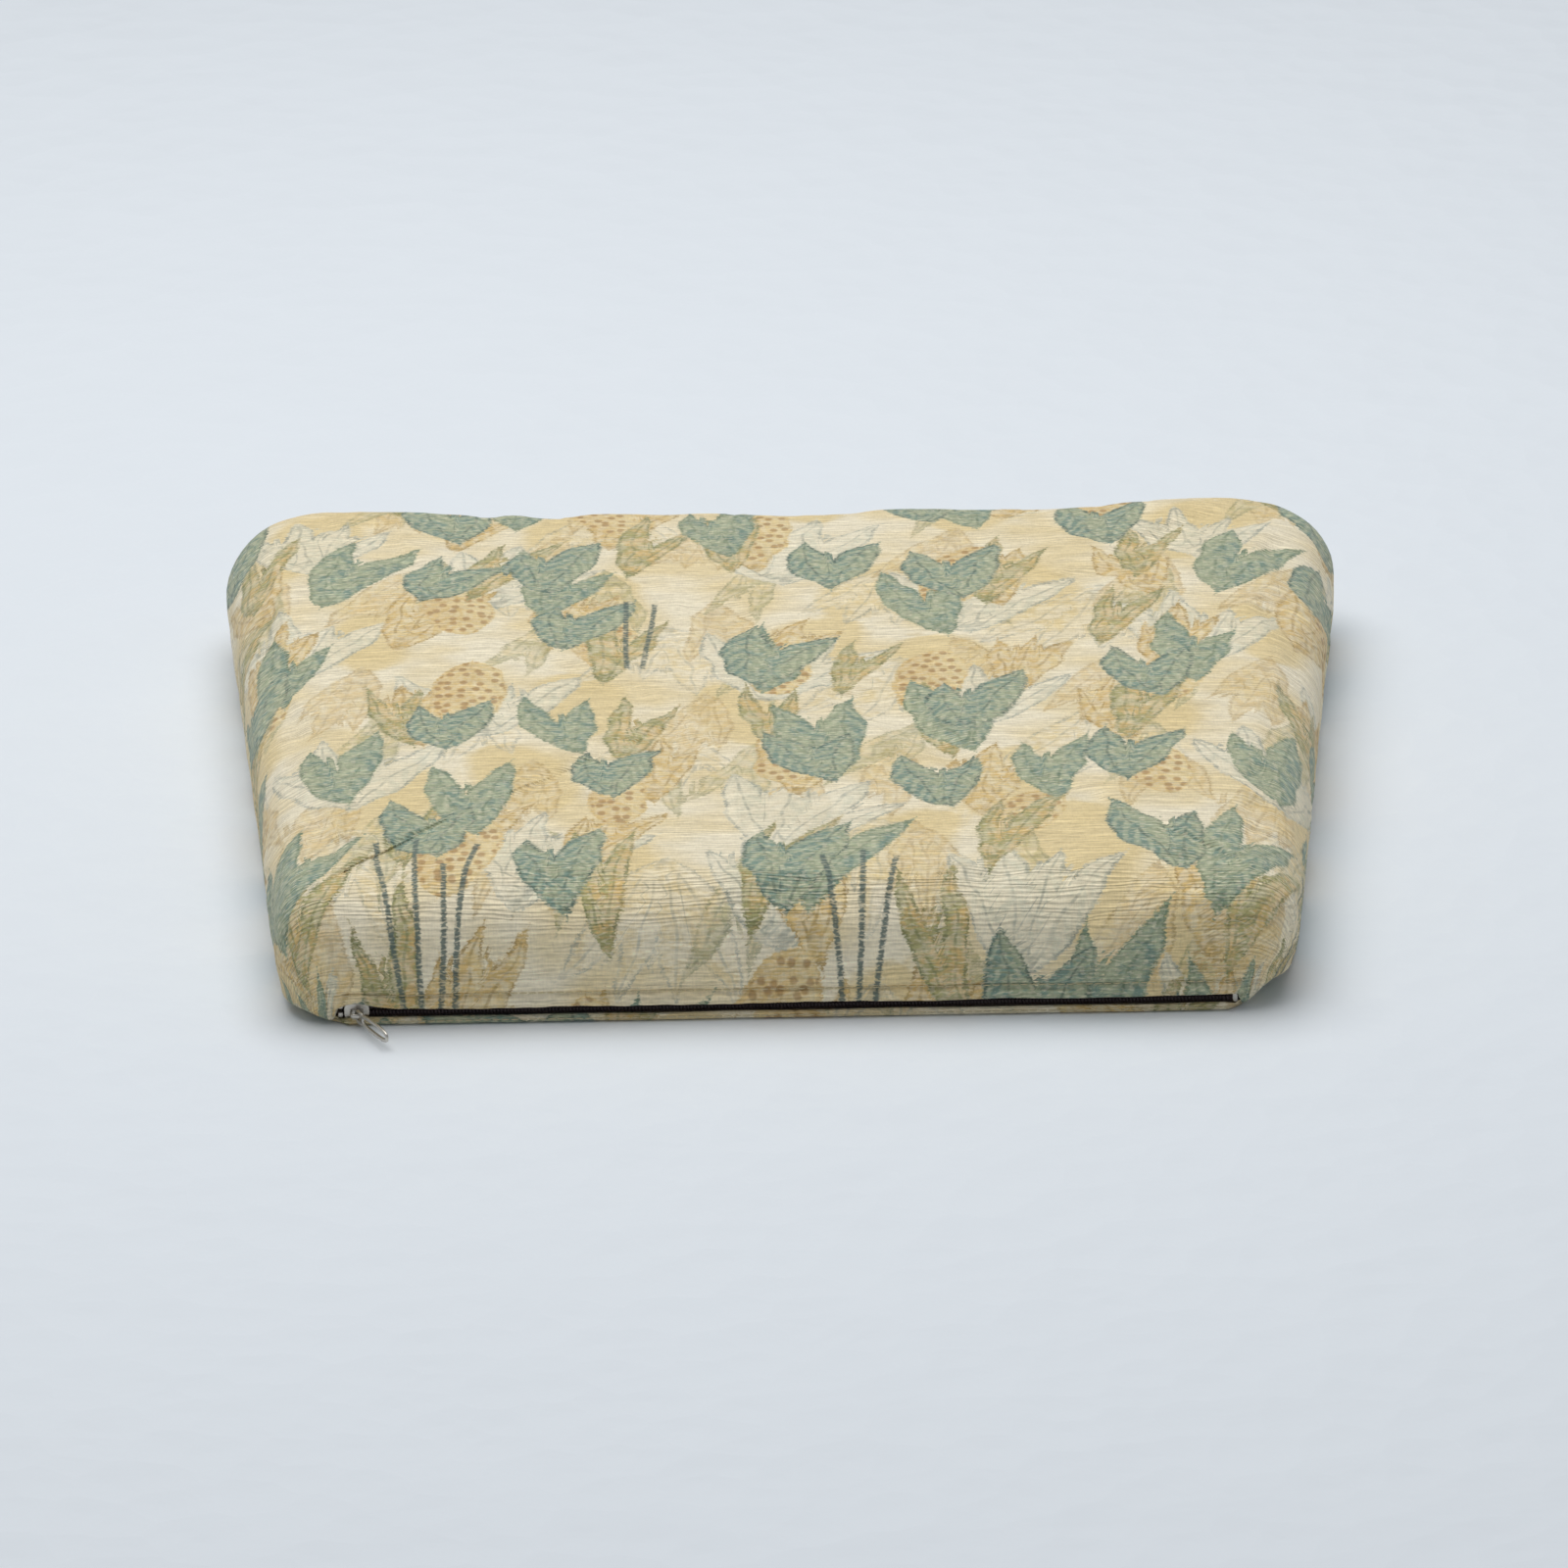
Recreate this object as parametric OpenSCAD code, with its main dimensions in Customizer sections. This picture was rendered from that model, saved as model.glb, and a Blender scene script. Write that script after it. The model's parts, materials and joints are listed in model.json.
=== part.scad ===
// Zipped seat pad for a dining chair: foam slab, wadding and liner in a tapestry cover.
// +Z is up, the front edge faces -Y, the zip runs along the back edge.
// The origin is the middle of the flat underside.

/* [Pad] */
// Width along the front edge
front_w = 448; // [300:1:600]
// Width along the back edge
back_w = 370; // [260:1:600]
// Depth from front edge to back edge
depth = 405; // [280:1:560]
// Height of the pad at its edges
pad_t = 50; // [36:1:100]
// Extra height in the middle of the top
crown = 4; // [1:0.5:15]
// Plan radius of the two front corners
front_r = 40; // [25:1:80]
// Plan radius of the two back corners
back_r = 20; // [15:1:40]
// Radius of the rounded top edge
top_r = 18; // [14:1:30]
// Radius of the turned-under bottom edge
under_r = 4; // [3:0.5:8]

/* [Cover and filling] */
// Thickness of the tapestry cloth
cloth_t = 0.9; // [0.5:0.1:1.5]
// Thickness of the liner cloth
liner_t = 0.6; // [0.3:0.1:1]
// Thickness of the wadding where it is thinnest
wadding_t = 6; // [3:0.5:8]
// Thickness of the sewing thread
thread_t = 0.3; // [0.2:0.05:0.6]
// Depth of the folded hem above the zip
hem_h = 11; // [8:0.5:16]
// Distance from a hem's fold to its row of stitches
stitch_in = 5.5; // [3:0.5:7]
// Open gap between the upper and the lower hem
hem_gap = 3.4; // [2.6:0.1:6]

/* [Zip] */
// Straight cloth left between the zip and the corner's curve
zip_end = 3.6; // [1:0.1:60]
// Diameter of each nylon coil
coil_d = 1.9; // [1.4:0.1:3]
// Thickness of the woven tape
tape_t = 0.5; // [0.3:0.1:0.8]
// Width of each tape, from its coil
tape_w = 14; // [10:0.5:18]
// Length of tape past each end of the coil
tape_tail = 8; // [5:0.5:12]
// Length of each end stop
stop_l = 2; // [1:0.1:4]
// Width of the bar tack across each end
tack_w = 1.6; // [1:0.1:2]

/* [Slider] */
// Length of the slider
slider_l = 9.4; // [7:0.1:14]
// Thickness of the slider's two plates
plate_t = 1; // [0.6:0.1:1.6]
// Thickness of the slider's side flanges
flange_t = 0.7; // [0.5:0.1:1.2]
// Width of the post between the two coils
post_w = 0.8; // [0.5:0.1:1.4]
// Length of that post
post_l = 3.2; // [2:0.1:4]
// Corner radius of the plates and the bail
shoulder_r = 1.5; // [0.8:0.1:1.8]
// Width of the bail that holds the pull
bail_w = 1.8; // [1:0.1:2.2]
// Thickness of the bail's metal
bail_t = 0.9; // [0.6:0.1:1.4]

/* [Pull tab] */
// Length of the pull from its hinge to its tip
pull_l = 25; // [14:0.5:40]
// Width of the pull
pull_w = 5.4; // [4.5:0.1:8]
// Thickness of the pull
pull_t = 1; // [0.6:0.1:1.6]
// Width of the slot in the pull
slot_w = 2.2; // [1:0.1:3]
// Diameter of the bar that turns in the bail
bar_d = 1.1; // [0.8:0.1:1.4]
// Half length of the bail's window, from the middle of the bar
bail_in = 1.7; // [1.3:0.1:2.4]
// How far the pull stands out from the zip, in degrees
pull_rest = 61; // [5:1:115]

/* [Fits] */
// Clearance between layers of cloth and filling
soft_gap = 0.3; // [0.2:0.05:0.6]
// Clearance between the liner and the sides of the cover
side_ease = 1.3; // [1:0.1:3]
// Running clearance round the slider and the pull
run_gap = 0.3; // [0.25:0.05:0.5]
// Clearance between the pull and the cloth it folds against
pull_clear = 0.6; // [0.4:0.1:2]

/* [Hidden] */
$fn = 48;
arc_steps = 8;   // flats on each plan corner
edge_steps = 4;  // flats on each rounded edge
crown_steps = [1, 0.9, 0.75, 0.55, 0.3, 0.1];  // rings of the crowned top, as shares of its plan
touch = 0.05;    // air between pieces that are sewn or clamped together
bite = 0.2;      // overlap that joins two lumps of one piece

// Colours
cloth_colour = "#EADDB8";
liner_colour = "#F2EBDD";
wadding_colour = "#FAFAF7";
foam_colour = "#EFE3A8";
tape_colour = "#6E5F5F";
coil_colour = "#574B4D";
thread_colour = "#D9CBA0";
metal_colour = "#B9B5AD";

// Each side leans in by this angle from front to back
lean = atan((front_w - back_w) / 2 / depth);
back_y = depth / 2;
function unit(a) = [cos(a), sin(a)];

// A plan corner is its sharp point, the directions that its two sides face, and its radius.
// short pulls the back edge forward, for the filling that makes room for the zip.
function corners(short) =
    let (rear_w = back_w + (front_w - back_w) * short / depth)
    [[[front_w / 2, -back_y], -90, lean, front_r],
     [[rear_w / 2, back_y - short], lean, 90, back_r],
     [[-rear_w / 2, back_y - short], 90, 180 - lean, back_r],
     [[-front_w / 2, -back_y], 180 - lean, 270, front_r]];
function arc_centre(c) = c[0] - c[3] * (unit(c[1]) + unit(c[2])) / (1 + unit(c[1]) * unit(c[2]));
function arc(c, inset) = [for (k = [0:arc_steps])
    arc_centre(c) + (c[3] - inset) * unit(c[1] + (c[2] - c[1]) * k / arc_steps)];
function outline(inset, short = 0) = [for (c = corners(short)) each arc(c, inset)];
function ring(inset, z, short = 0, share = 1) =
    [for (p = outline(inset, short)) [p[0] * share, p[1] * share, z]];

// Rings of the crowned top, from the edge to the middle, inside the outer surface by gap
function top_rings(gap, short = 0) = [for (s = crown_steps)
    ring(top_r, pad_t - gap + crown * (1 - pow(s, 4)), short, s)];
// Rings of the rounded top edge, from the side wall up
function edge_rings(gap, short = 0) = [for (k = [0:edge_steps - 1]) let (a = 90 * k / edge_steps)
    ring(top_r - (top_r - gap) * cos(a), pad_t - top_r + (top_r - gap) * sin(a), short)];
// Rings of the turned-under bottom edge, from the underside up
function under_rings(gap) = [for (k = [0:edge_steps]) let (a = 90 * k / edge_steps)
    ring(under_r - (under_r - gap) * sin(a), under_r - (under_r - gap) * cos(a))];
function turned(list) = [for (k = [len(list) - 1:-1:0]) list[k]];

// Closes a stack of rings into a solid; the first ring faces down and the last one up
module skin(rings) {
    n = len(rings[0]);
    last = len(rings) - 1;
    walls = [for (k = [0:last - 1]) for (i = [0:n - 1]) let (j = (i + 1) % n)
        [k * n + i, (k + 1) * n + i, (k + 1) * n + j, k * n + j]];
    floor_face = [for (i = [0:n - 1]) i];
    roof_face = [for (i = [n - 1:-1:0]) last * n + i];
    faces = concat([floor_face], walls, [roof_face]);
    polyhedron(points = [for (r = rings) each r], faces = faces, convexity = 4);
}
// A profile in (y, z) carried along X
module along_x(x0, x1) translate([x0, 0, 0]) rotate([90, 0, 90]) linear_extrude(x1 - x0) children();
// A shape in (x, z) with its outer face at y_out
module upright(y_out, t) translate([0, y_out, 0]) rotate([90, 0, 0]) linear_extrude(t) children();
module box(low, high) translate(low) cube(high - low);

// Zip layout, outwards from the slider's inner plate
hem_t = 2 * cloth_t;
slider_y = back_y - hem_t - run_gap;             // outer face of the slider
coil_y = slider_y - plate_t - run_gap - coil_d / 2;
tape_y = coil_y - coil_d / 2 - touch;            // outer face of the tape where the coil sits
inner_plate_y = tape_y - tape_t - run_gap;       // outer face of the inner plate
zip_room = back_y - inner_plate_y + plate_t + run_gap - side_ease - cloth_t;
coil_in = post_w / 2 + run_gap;                  // nearest edge of a coil to the zip's middle line
coil_reach = coil_in + coil_d;                   // farthest edge of a coil from that line
channel = coil_reach + run_gap;                  // half width inside the slider
slider_half = channel + flange_t;
tape_leg_z = cloth_t + soft_gap / 2;             // underside of the lower tape
zip_z = max(cloth_t + run_gap + slider_half, tape_leg_z + tape_t + run_gap + channel);
flap_z = zip_z + hem_gap / 2;                    // fold of the upper hem
lower_hem_z = zip_z - hem_gap / 2;               // fold of the lower hem
stitch_z = flap_z + stitch_in;
zip_half = arc_centre(corners(0)[1])[0] - zip_end;
tape_half = zip_half + tape_tail;
slider_x = zip_half - run_gap - slider_l / 2;    // the closed zip's slider
hinge_y = back_y + pull_clear + pull_t / 2;
web_start = bail_in + bail_t + pull_t + run_gap + touch;  // where the pull's two arms join

// Filling layout
liner_in = cloth_t + side_ease;
wadding_in = liner_in + liner_t + soft_gap;
foam_in = wadding_in + wadding_t + soft_gap;
liner_z = tape_leg_z + tape_t + soft_gap / 2;
wadding_z = liner_z + liner_t + soft_gap;
foam_z = wadding_z + wadding_t + soft_gap;
liner_gap = cloth_t + soft_gap;                  // liner's outer face below the top of the pad
wadding_gap = liner_gap + liner_t + soft_gap;
foam_gap = wadding_gap + wadding_t + soft_gap;

// Corner-rounded block of filling, from z0 up to gap below the top, its sides in by inset
function side_rings(inset, gap, z0) = concat([ring(inset, z0, zip_room)],
    [for (k = [0:edge_steps]) let (a = 90 * k / edge_steps)
        ring(top_r - (top_r - inset) * cos(a), pad_t - gap - (top_r - inset) * (1 - sin(a)), zip_room)]);
function crown_rings(gap) = [for (k = [1:len(crown_steps) - 1]) let (s = crown_steps[k])
    ring(top_r, pad_t - gap + crown * (1 - pow(s, 4)), zip_room, s)];

module cover_top() color(cloth_colour) {
    difference() {
        skin(concat(turned(top_rings(cloth_t)), turned(edge_rings(cloth_t)), turned(under_rings(cloth_t)),
            under_rings(0), edge_rings(0), top_rings(0)));
        box([-zip_half - run_gap, back_y - zip_room - under_r, -1], [zip_half + run_gap, back_y + 1, flap_z]);
    }
    box([-zip_half, back_y - hem_t, flap_z], [zip_half, back_y - cloth_t + bite, flap_z + hem_h]);
}
// One flat panel; its back edge turns up into the lower hem
module cover_bottom() color(cloth_colour) {
    plan = [for (c = corners(0)) arc(c, under_r + touch)];
    seam_y = back_y - under_r - touch;
    strip = [[zip_half, seam_y], [zip_half, back_y], [-zip_half, back_y], [-zip_half, seam_y]];
    linear_extrude(cloth_t) polygon(concat(plan[0], plan[1], strip, plan[2], plan[3]));
    box([-zip_half, back_y - hem_t, cloth_t - bite], [zip_half, back_y, lower_hem_z]);
}
module liner_top() color(liner_colour) {
    z0 = liner_z + liner_t + soft_gap / 2;
    inner = concat(side_rings(liner_in + liner_t, liner_gap + liner_t, z0), crown_rings(liner_gap + liner_t));
    skin(concat(turned(inner), side_rings(liner_in, liner_gap, z0), crown_rings(liner_gap)));
}
module liner_bottom() color(liner_colour)
    translate([0, 0, liner_z]) linear_extrude(liner_t) polygon(outline(liner_in, zip_room));
module wadding_top() color(wadding_colour) {
    z0 = wadding_z + wadding_t + soft_gap;
    inner = side_rings(foam_in - soft_gap, foam_gap - soft_gap, z0);
    skin(concat(turned(inner), side_rings(wadding_in, wadding_gap, z0), crown_rings(wadding_gap)));
}
module wadding_bottom() color(wadding_colour)
    translate([0, 0, wadding_z]) linear_extrude(wadding_t) polygon(outline(wadding_in, zip_room));
module foam_core() color(foam_colour) skin(side_rings(foam_in, foam_gap, foam_z));

// The upper tape runs up behind its coil, slants out past the slider and lies on the hem
module zip_tape_upper() color(tape_colour) {
    low = zip_z + coil_in + touch;
    bend = zip_z + slider_half + run_gap;
    lie_y = back_y - hem_t - soft_gap / 2;
    slant = stitch_z - bend - 1;
    along_x(-tape_half, tape_half) polygon([[tape_y, low], [tape_y, bend], [lie_y, bend + slant],
        [lie_y, low + tape_w], [lie_y - tape_t, low + tape_w], [lie_y - tape_t, bend + slant + tape_t / 2],
        [tape_y - tape_t, bend + tape_t / 2], [tape_y - tape_t, low]]);
}
// The lower tape runs down behind its coil and turns in along the bottom panel
module zip_tape_lower() color(tape_colour) {
    high = zip_z - coil_in - touch;
    along_x(-tape_half, tape_half) polygon([[tape_y, high], [tape_y, tape_leg_z],
        [tape_y - tape_w + high, tape_leg_z], [tape_y - tape_w + high, tape_leg_z + tape_t],
        [tape_y - tape_t, tape_leg_z + tape_t], [tape_y - tape_t, high]]);
}
function coil_z(side) = zip_z + side * (coil_in + coil_d / 2);
module coil(side) color(coil_colour) along_x(-zip_half + touch, zip_half - touch)
    translate([coil_y, coil_z(side)]) circle(d = coil_d);
module zip_coil_upper() coil(1);
module zip_coil_lower() coil(-1);

// A metal block clamped over the tape, between heights z0 and z1, with x0 its inner end
module clamp(x0, z0, z1) box([x0, tape_y + touch, z0], [x0 + stop_l, slider_y - plate_t, z1]);
module zip_top_stops() color(metal_colour) for (side = [-1, 1])
    clamp(zip_half, coil_z(side) - coil_d / 2, coil_z(side) + coil_d / 2);
module zip_bottom_stop() color(metal_colour)
    clamp(-zip_half - stop_l, zip_z - coil_reach, zip_z + coil_reach);
module bar_tacks() color(thread_colour) for (side = [-1, 1])
    translate([side * (zip_half + stop_l + tack_w), tape_y + touch, zip_z - coil_reach])
        translate([-tack_w / 2, 0, 0]) cube([tack_w, thread_t, 2 * coil_reach]);

module hem_thread(z) color(thread_colour)
    translate([-zip_half, back_y + touch, z - thread_t / 2]) cube([2 * zip_half, thread_t, thread_t]);
module hem_thread_upper() hem_thread(stitch_z);
module hem_thread_lower() hem_thread(lower_hem_z / 2);
// The closing seam's thread, along the sides and the front
module seam_thread() color(thread_colour) translate([0, 0, cloth_t + touch]) linear_extrude(thread_t)
    difference() {
        polygon(outline(under_r + cloth_t));
        polygon(outline(under_r + cloth_t + thread_t));
        translate([-tape_half, tape_y - tape_w]) square([2 * tape_half, back_y - tape_y + tape_w]);
    }

module rounded(l, w, r) {
    square([l - 2 * r, w], center = true);
    square([l, w - 2 * r], center = true);
    for (x = [-1, 1], y = [-1, 1]) translate([x * (l / 2 - r), y * (w / 2 - r)]) circle(r);
}
// The bail's side view in (x, y): an arch with rounded shoulders over a square window
module bail_arch() {
    half = bail_in + bail_t;
    window_y = hinge_y + bar_d / 2 + run_gap;
    top_y = window_y + bail_t;
    difference() {
        union() {
            translate([-half, slider_y - bite]) square([2 * half, top_y - shoulder_r - slider_y + bite]);
            translate([shoulder_r - half, slider_y]) square([2 * (half - shoulder_r), top_y - slider_y]);
            for (side = [-1, 1])
                translate([side * (half - shoulder_r), top_y - shoulder_r]) circle(shoulder_r);
        }
        translate([-bail_in, slider_y + bite]) square([2 * bail_in, window_y - slider_y - bite]);
    }
}
// Two plates joined by a post between the coils, side flanges, and a bail on the outer plate
module slider_body() color(metal_colour) translate([slider_x, 0, zip_z]) {
    half = slider_l / 2;
    roof_y = slider_y - plate_t + bite;
    upright(slider_y, plate_t) rounded(slider_l, 2 * slider_half, shoulder_r);
    upright(inner_plate_y, plate_t) rounded(slider_l, 2 * channel, shoulder_r);
    for (side = [-1, 1]) translate([0, 0, side * (channel + flange_t / 2) - flange_t / 2])
        box([shoulder_r - half, tape_y + run_gap, 0], [half - shoulder_r, roof_y, flange_t]);
    box([half - post_l - flange_t, inner_plate_y - bite, -post_w / 2], [half - flange_t, roof_y, post_w / 2]);
    translate([0, 0, -bail_w / 2]) linear_extrude(bail_w) bail_arch();
}
// A slotted tab whose two arms pass either side of the bail, with a bar between them
module pull_tab() color(metal_colour)
    translate([slider_x, hinge_y, zip_z]) rotate([0, 0, 180 - pull_rest]) {
        tip = pull_w / 2;
        rim = (pull_w - slot_w) / 2;
        arm_in = bail_w / 2 + run_gap + touch;
        slot_r = slot_w / 2;
        slot_near = web_start + rim + slot_r;
        slot_far = pull_l - rim - slot_r;
        upright(pull_t / 2, pull_t) difference() {
            union() {
                translate([-bar_d / 2, -pull_w / 2]) square([pull_l - tip + bar_d / 2, pull_w]);
                translate([pull_l - tip, 0]) circle(tip);
            }
            translate([-bar_d, -arm_in]) square([web_start + bar_d, 2 * arm_in]);
            translate([slot_near, -slot_r]) square([slot_far - slot_near, slot_w]);
            for (x = [slot_near, slot_far]) translate([x, 0]) circle(slot_r);
        }
        translate([0, 0, -pull_w / 2 + bite]) cylinder(d = bar_d, h = pull_w - 2 * bite);
    }

cover_top();
cover_bottom();
liner_top();
liner_bottom();
wadding_top();
wadding_bottom();
foam_core();
zip_tape_upper();
zip_tape_lower();
zip_coil_upper();
zip_coil_lower();
zip_top_stops();
zip_bottom_stop();
bar_tacks();
hem_thread_upper();
hem_thread_lower();
seam_thread();
slider_body();
pull_tab();
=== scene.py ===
"""Looks of a zipped dining-chair seat pad: a tapestry cover over liner, wadding and foam, with its zip."""

import json
import math

import bmesh
import bpy
import numpy as np
from mathutils import Euler, Matrix, Vector
from bpy.props import FloatProperty, IntProperty, PointerProperty, StringProperty


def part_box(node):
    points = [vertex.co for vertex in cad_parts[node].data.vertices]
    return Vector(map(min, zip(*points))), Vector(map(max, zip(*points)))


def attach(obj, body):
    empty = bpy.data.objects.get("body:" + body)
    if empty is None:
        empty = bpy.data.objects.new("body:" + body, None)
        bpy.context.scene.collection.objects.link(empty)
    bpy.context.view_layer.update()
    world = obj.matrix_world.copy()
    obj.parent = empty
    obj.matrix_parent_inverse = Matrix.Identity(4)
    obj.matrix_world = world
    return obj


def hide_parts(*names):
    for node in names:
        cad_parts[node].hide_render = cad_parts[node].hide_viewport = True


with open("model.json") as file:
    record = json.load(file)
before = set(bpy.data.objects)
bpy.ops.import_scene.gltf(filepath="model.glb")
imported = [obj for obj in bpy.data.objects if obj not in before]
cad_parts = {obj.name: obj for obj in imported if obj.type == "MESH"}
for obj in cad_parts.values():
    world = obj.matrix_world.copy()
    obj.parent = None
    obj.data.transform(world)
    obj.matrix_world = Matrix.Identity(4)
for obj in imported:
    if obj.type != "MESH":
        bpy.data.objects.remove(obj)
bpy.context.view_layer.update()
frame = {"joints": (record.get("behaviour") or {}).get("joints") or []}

bl_info = {
    "name": "Zipped Seat Pad",
    "version": (1, 0, 0),
    "blender": (4, 5, 0),
    "location": "View3D > Sidebar > Seat Pad",
    "description": "Builds a tapestry seat pad with its filling and zip",
    "category": "Add Mesh",
}

MM = 0.001

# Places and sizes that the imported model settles
cover_low, cover_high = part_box("cover_top")
under_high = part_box("cover_bottom")[1]
liner_low, liner_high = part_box("liner_bottom")
case_low, case_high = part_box("liner_top")
pad_low, pad_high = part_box("wadding_top")
felt_low, felt_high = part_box("wadding_bottom")
foam_low, foam_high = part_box("foam_core")
upper_low, upper_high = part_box("zip_coil_upper")
lower_low, lower_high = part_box("zip_coil_lower")
stitch_low, stitch_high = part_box("hem_thread_upper")
hem_low, hem_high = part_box("hem_thread_lower")
seam_low, seam_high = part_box("seam_thread")
slider_low, slider_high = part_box("slider_body")
ZIP_HALF = stitch_high.x
ZIP_Z = (upper_low.z + lower_high.z) / 2
LOWER_HEM_Z = under_high.z
FLAP_Z = 2 * ZIP_Z - LOWER_HEM_Z
STITCH_Z = (stitch_low.z + stitch_high.z) / 2
HINGE = next(j["pos_m"] for j in frame["joints"] if j["name"] == "pull_swing")


# ---------------------------------------------------------------- sizes and colours


class PadSizes(bpy.types.PropertyGroup):
    """Sizes of the pad's soft pieces."""

    front_width: FloatProperty(name="Front width", description="Between the sharp front corners", default=0.448,
                               unit="LENGTH")
    back_width: FloatProperty(name="Back width", description="Between the sharp back corners", default=0.370,
                              unit="LENGTH")
    front_radius: FloatProperty(name="Front corner radius", description="In plan", default=0.040, unit="LENGTH")
    back_radius: FloatProperty(name="Back corner radius", description="In plan", default=0.020, unit="LENGTH")
    edge_height: FloatProperty(name="Edge height", description="Height of the pad at its edges", default=0.050,
                               unit="LENGTH")
    edge_radius: FloatProperty(name="Top edge radius", description="Roundness of the top edge", default=0.018,
                               unit="LENGTH")
    under_radius: FloatProperty(name="Bottom edge radius", description="Turn under to the seam", default=0.004,
                                unit="LENGTH")
    cloth: FloatProperty(name="Cloth thickness", description="Thickness of the tapestry", default=0.0009,
                         unit="LENGTH")
    hem: FloatProperty(name="Hem depth", description="Cloth folded up behind the flap", default=0.011,
                       unit="LENGTH")
    liner: FloatProperty(name="Liner thickness", description="Thickness of the calico", default=0.0006,
                         unit="LENGTH")
    crown: FloatProperty(name="Crown", description="How far the top swells above its edges", default=0.0035,
                         unit="LENGTH")
    side_bulge: FloatProperty(name="Side bulge", description="How far the sides belly out", default=0.0013,
                              unit="LENGTH")
    top_rings: IntProperty(name="Top rings", description="Rings of cloth from the middle to the edge", default=60)
    side_rings: IntProperty(name="Side rings", description="Rings of cloth down the side and round the hem",
                            default=42)


class PadColours(bpy.types.PropertyGroup):
    """Yarn, filling and metal colours, as sRGB hex."""

    ground: StringProperty(name="Ground", description="Cream ground of the tapestry", default="F6EACD")
    sand: StringProperty(name="Sand", description="Soft tint on the ground", default="EAD39D")
    lily: StringProperty(name="Lily", description="Pale petals", default="F3EAD0")
    lily_line: StringProperty(name="Lily line", description="Outline of the pale petals", default="84908A")
    gold: StringProperty(name="Gold", description="Gold petals", default="DDBE80")
    gold_line: StringProperty(name="Gold line", description="Strokes on the gold petals", default="AC8E55")
    olive: StringProperty(name="Olive", description="Narrow leaves", default="B3AC78")
    olive_line: StringProperty(name="Olive line", description="Edges of the narrow leaves", default="7D8259")
    berry: StringProperty(name="Berry", description="Ground of the berry heads", default="E1C48A")
    berry_dot: StringProperty(name="Berry dot", description="Dots on the berry heads", default="A97F4E")
    sage: StringProperty(name="Sage", description="Soft green leaves", default="A6AD8E")
    sage_line: StringProperty(name="Sage line", description="Veins of the soft green leaves", default="76866A")
    teal: StringProperty(name="Teal", description="Blue-green leaves", default="829889")
    teal_line: StringProperty(name="Teal line", description="Outline of the blue-green leaves", default="586A60")
    haze: StringProperty(name="Haze", description="Grey-blue shading of the pale petals", default="DFDCC4")
    hatch: StringProperty(name="Hatching", description="Pale veins of the leaves", default="C4C8A6")
    stem: StringProperty(name="Stem", description="Dark stems", default="62716A")
    tape: StringProperty(name="Zip tape", description="Mauve-grey woven polyester", default="6E5F5F")
    coil: StringProperty(name="Zip coil", description="Nylon monofilament", default="574B4D")
    thread: StringProperty(name="Thread", description="Polyester sewing thread", default="DACDA6")
    calico: StringProperty(name="Calico", description="Unbleached cotton liner", default="EFE7D3")
    wadding: StringProperty(name="Wadding", description="Polyester fibre", default="F7F7F4")
    foam: StringProperty(name="Foam", description="Polyurethane foam", default="EBDC9B")
    nickel: StringProperty(name="Nickel", description="Nickel plating, tumbled", default="C9C4BB")
    floor: StringProperty(name="Floor", description="Stage floor and backdrop", default="E6EBF0")


class ZipSizes(bpy.types.PropertyGroup):
    """Sizes of the zip's small pieces."""

    pitch: FloatProperty(name="Coil pitch", description="Along the zip, per turn", default=0.00127, unit="LENGTH")
    wire: FloatProperty(name="Coil wire", description="Thickness of the nylon", default=0.00055, unit="LENGTH")
    tape: FloatProperty(name="Tape thickness", description="Thickness of the tape", default=0.0005, unit="LENGTH")
    stitch: FloatProperty(name="Stitch length", description="Of the hem's topstitching", default=0.0034,
                          unit="LENGTH")
    thread: FloatProperty(name="Thread", description="Thickness of the sewing thread", default=0.00048,
                          unit="LENGTH")
    plate: FloatProperty(name="Plate", description="Thickness of the slider's plates", default=0.001, unit="LENGTH")
    pull_length: FloatProperty(name="Pull length", description="From hinge to tip", default=0.025, unit="LENGTH")
    pull_width: FloatProperty(name="Pull width", description="Across the pull", default=0.0054, unit="LENGTH")
    pull_thickness: FloatProperty(name="Pull thickness", description="Of the pull's metal", default=0.001,
                                  unit="LENGTH")
    pull_angle: FloatProperty(name="Pull angle", description="From the zip, at rest", default=math.radians(61),
                              subtype="ANGLE")


# ---------------------------------------------------------------- node and mesh helpers


def linear(code, alpha=1.0):
    """An sRGB hex colour as linear RGBA."""
    srgb = np.array([int(code[k:k + 2], 16) for k in (0, 2, 4)]) / 255
    rgb = np.where(srgb <= 0.04045, srgb / 12.92, ((srgb + 0.055) / 1.055) ** 2.4)
    return (*(float(c) for c in rgb), alpha)


# The setting that the second word of a node's kind gives
MODES = {"Math": "operation", "VectorMath": "operation", "Mix": "data_type", "MapRange": "interpolation_type"}


def add(tree, kind, *values, **settings):
    """Adds a shader node with its settings and links, and returns it.

    The kind may carry its mode as a second word. The values go to the sockets in use, in order, or to sockets
    by name where they come as one dict. A value is a number, a colour, a socket, or a node, which stands for
    its first output in use."""
    name, _, mode = kind.partition(" ")
    new = tree.nodes.new("ShaderNode" + name)
    if mode:
        setattr(new, MODES[name], mode)
    for key, value in settings.items():
        setattr(new, key, value)
    named = values[0] if values and isinstance(values[0], dict) else dict(enumerate(values))
    in_use = [socket for socket in new.inputs if socket.enabled]
    for key, value in named.items():
        socket = in_use[key] if isinstance(key, int) else new.inputs[key]
        if isinstance(value, bpy.types.Node):
            value = next(output for output in value.outputs if output.enabled)
        if isinstance(value, bpy.types.NodeSocket):
            tree.links.new(value, socket)
        else:
            socket.default_value = value
    return new


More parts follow.
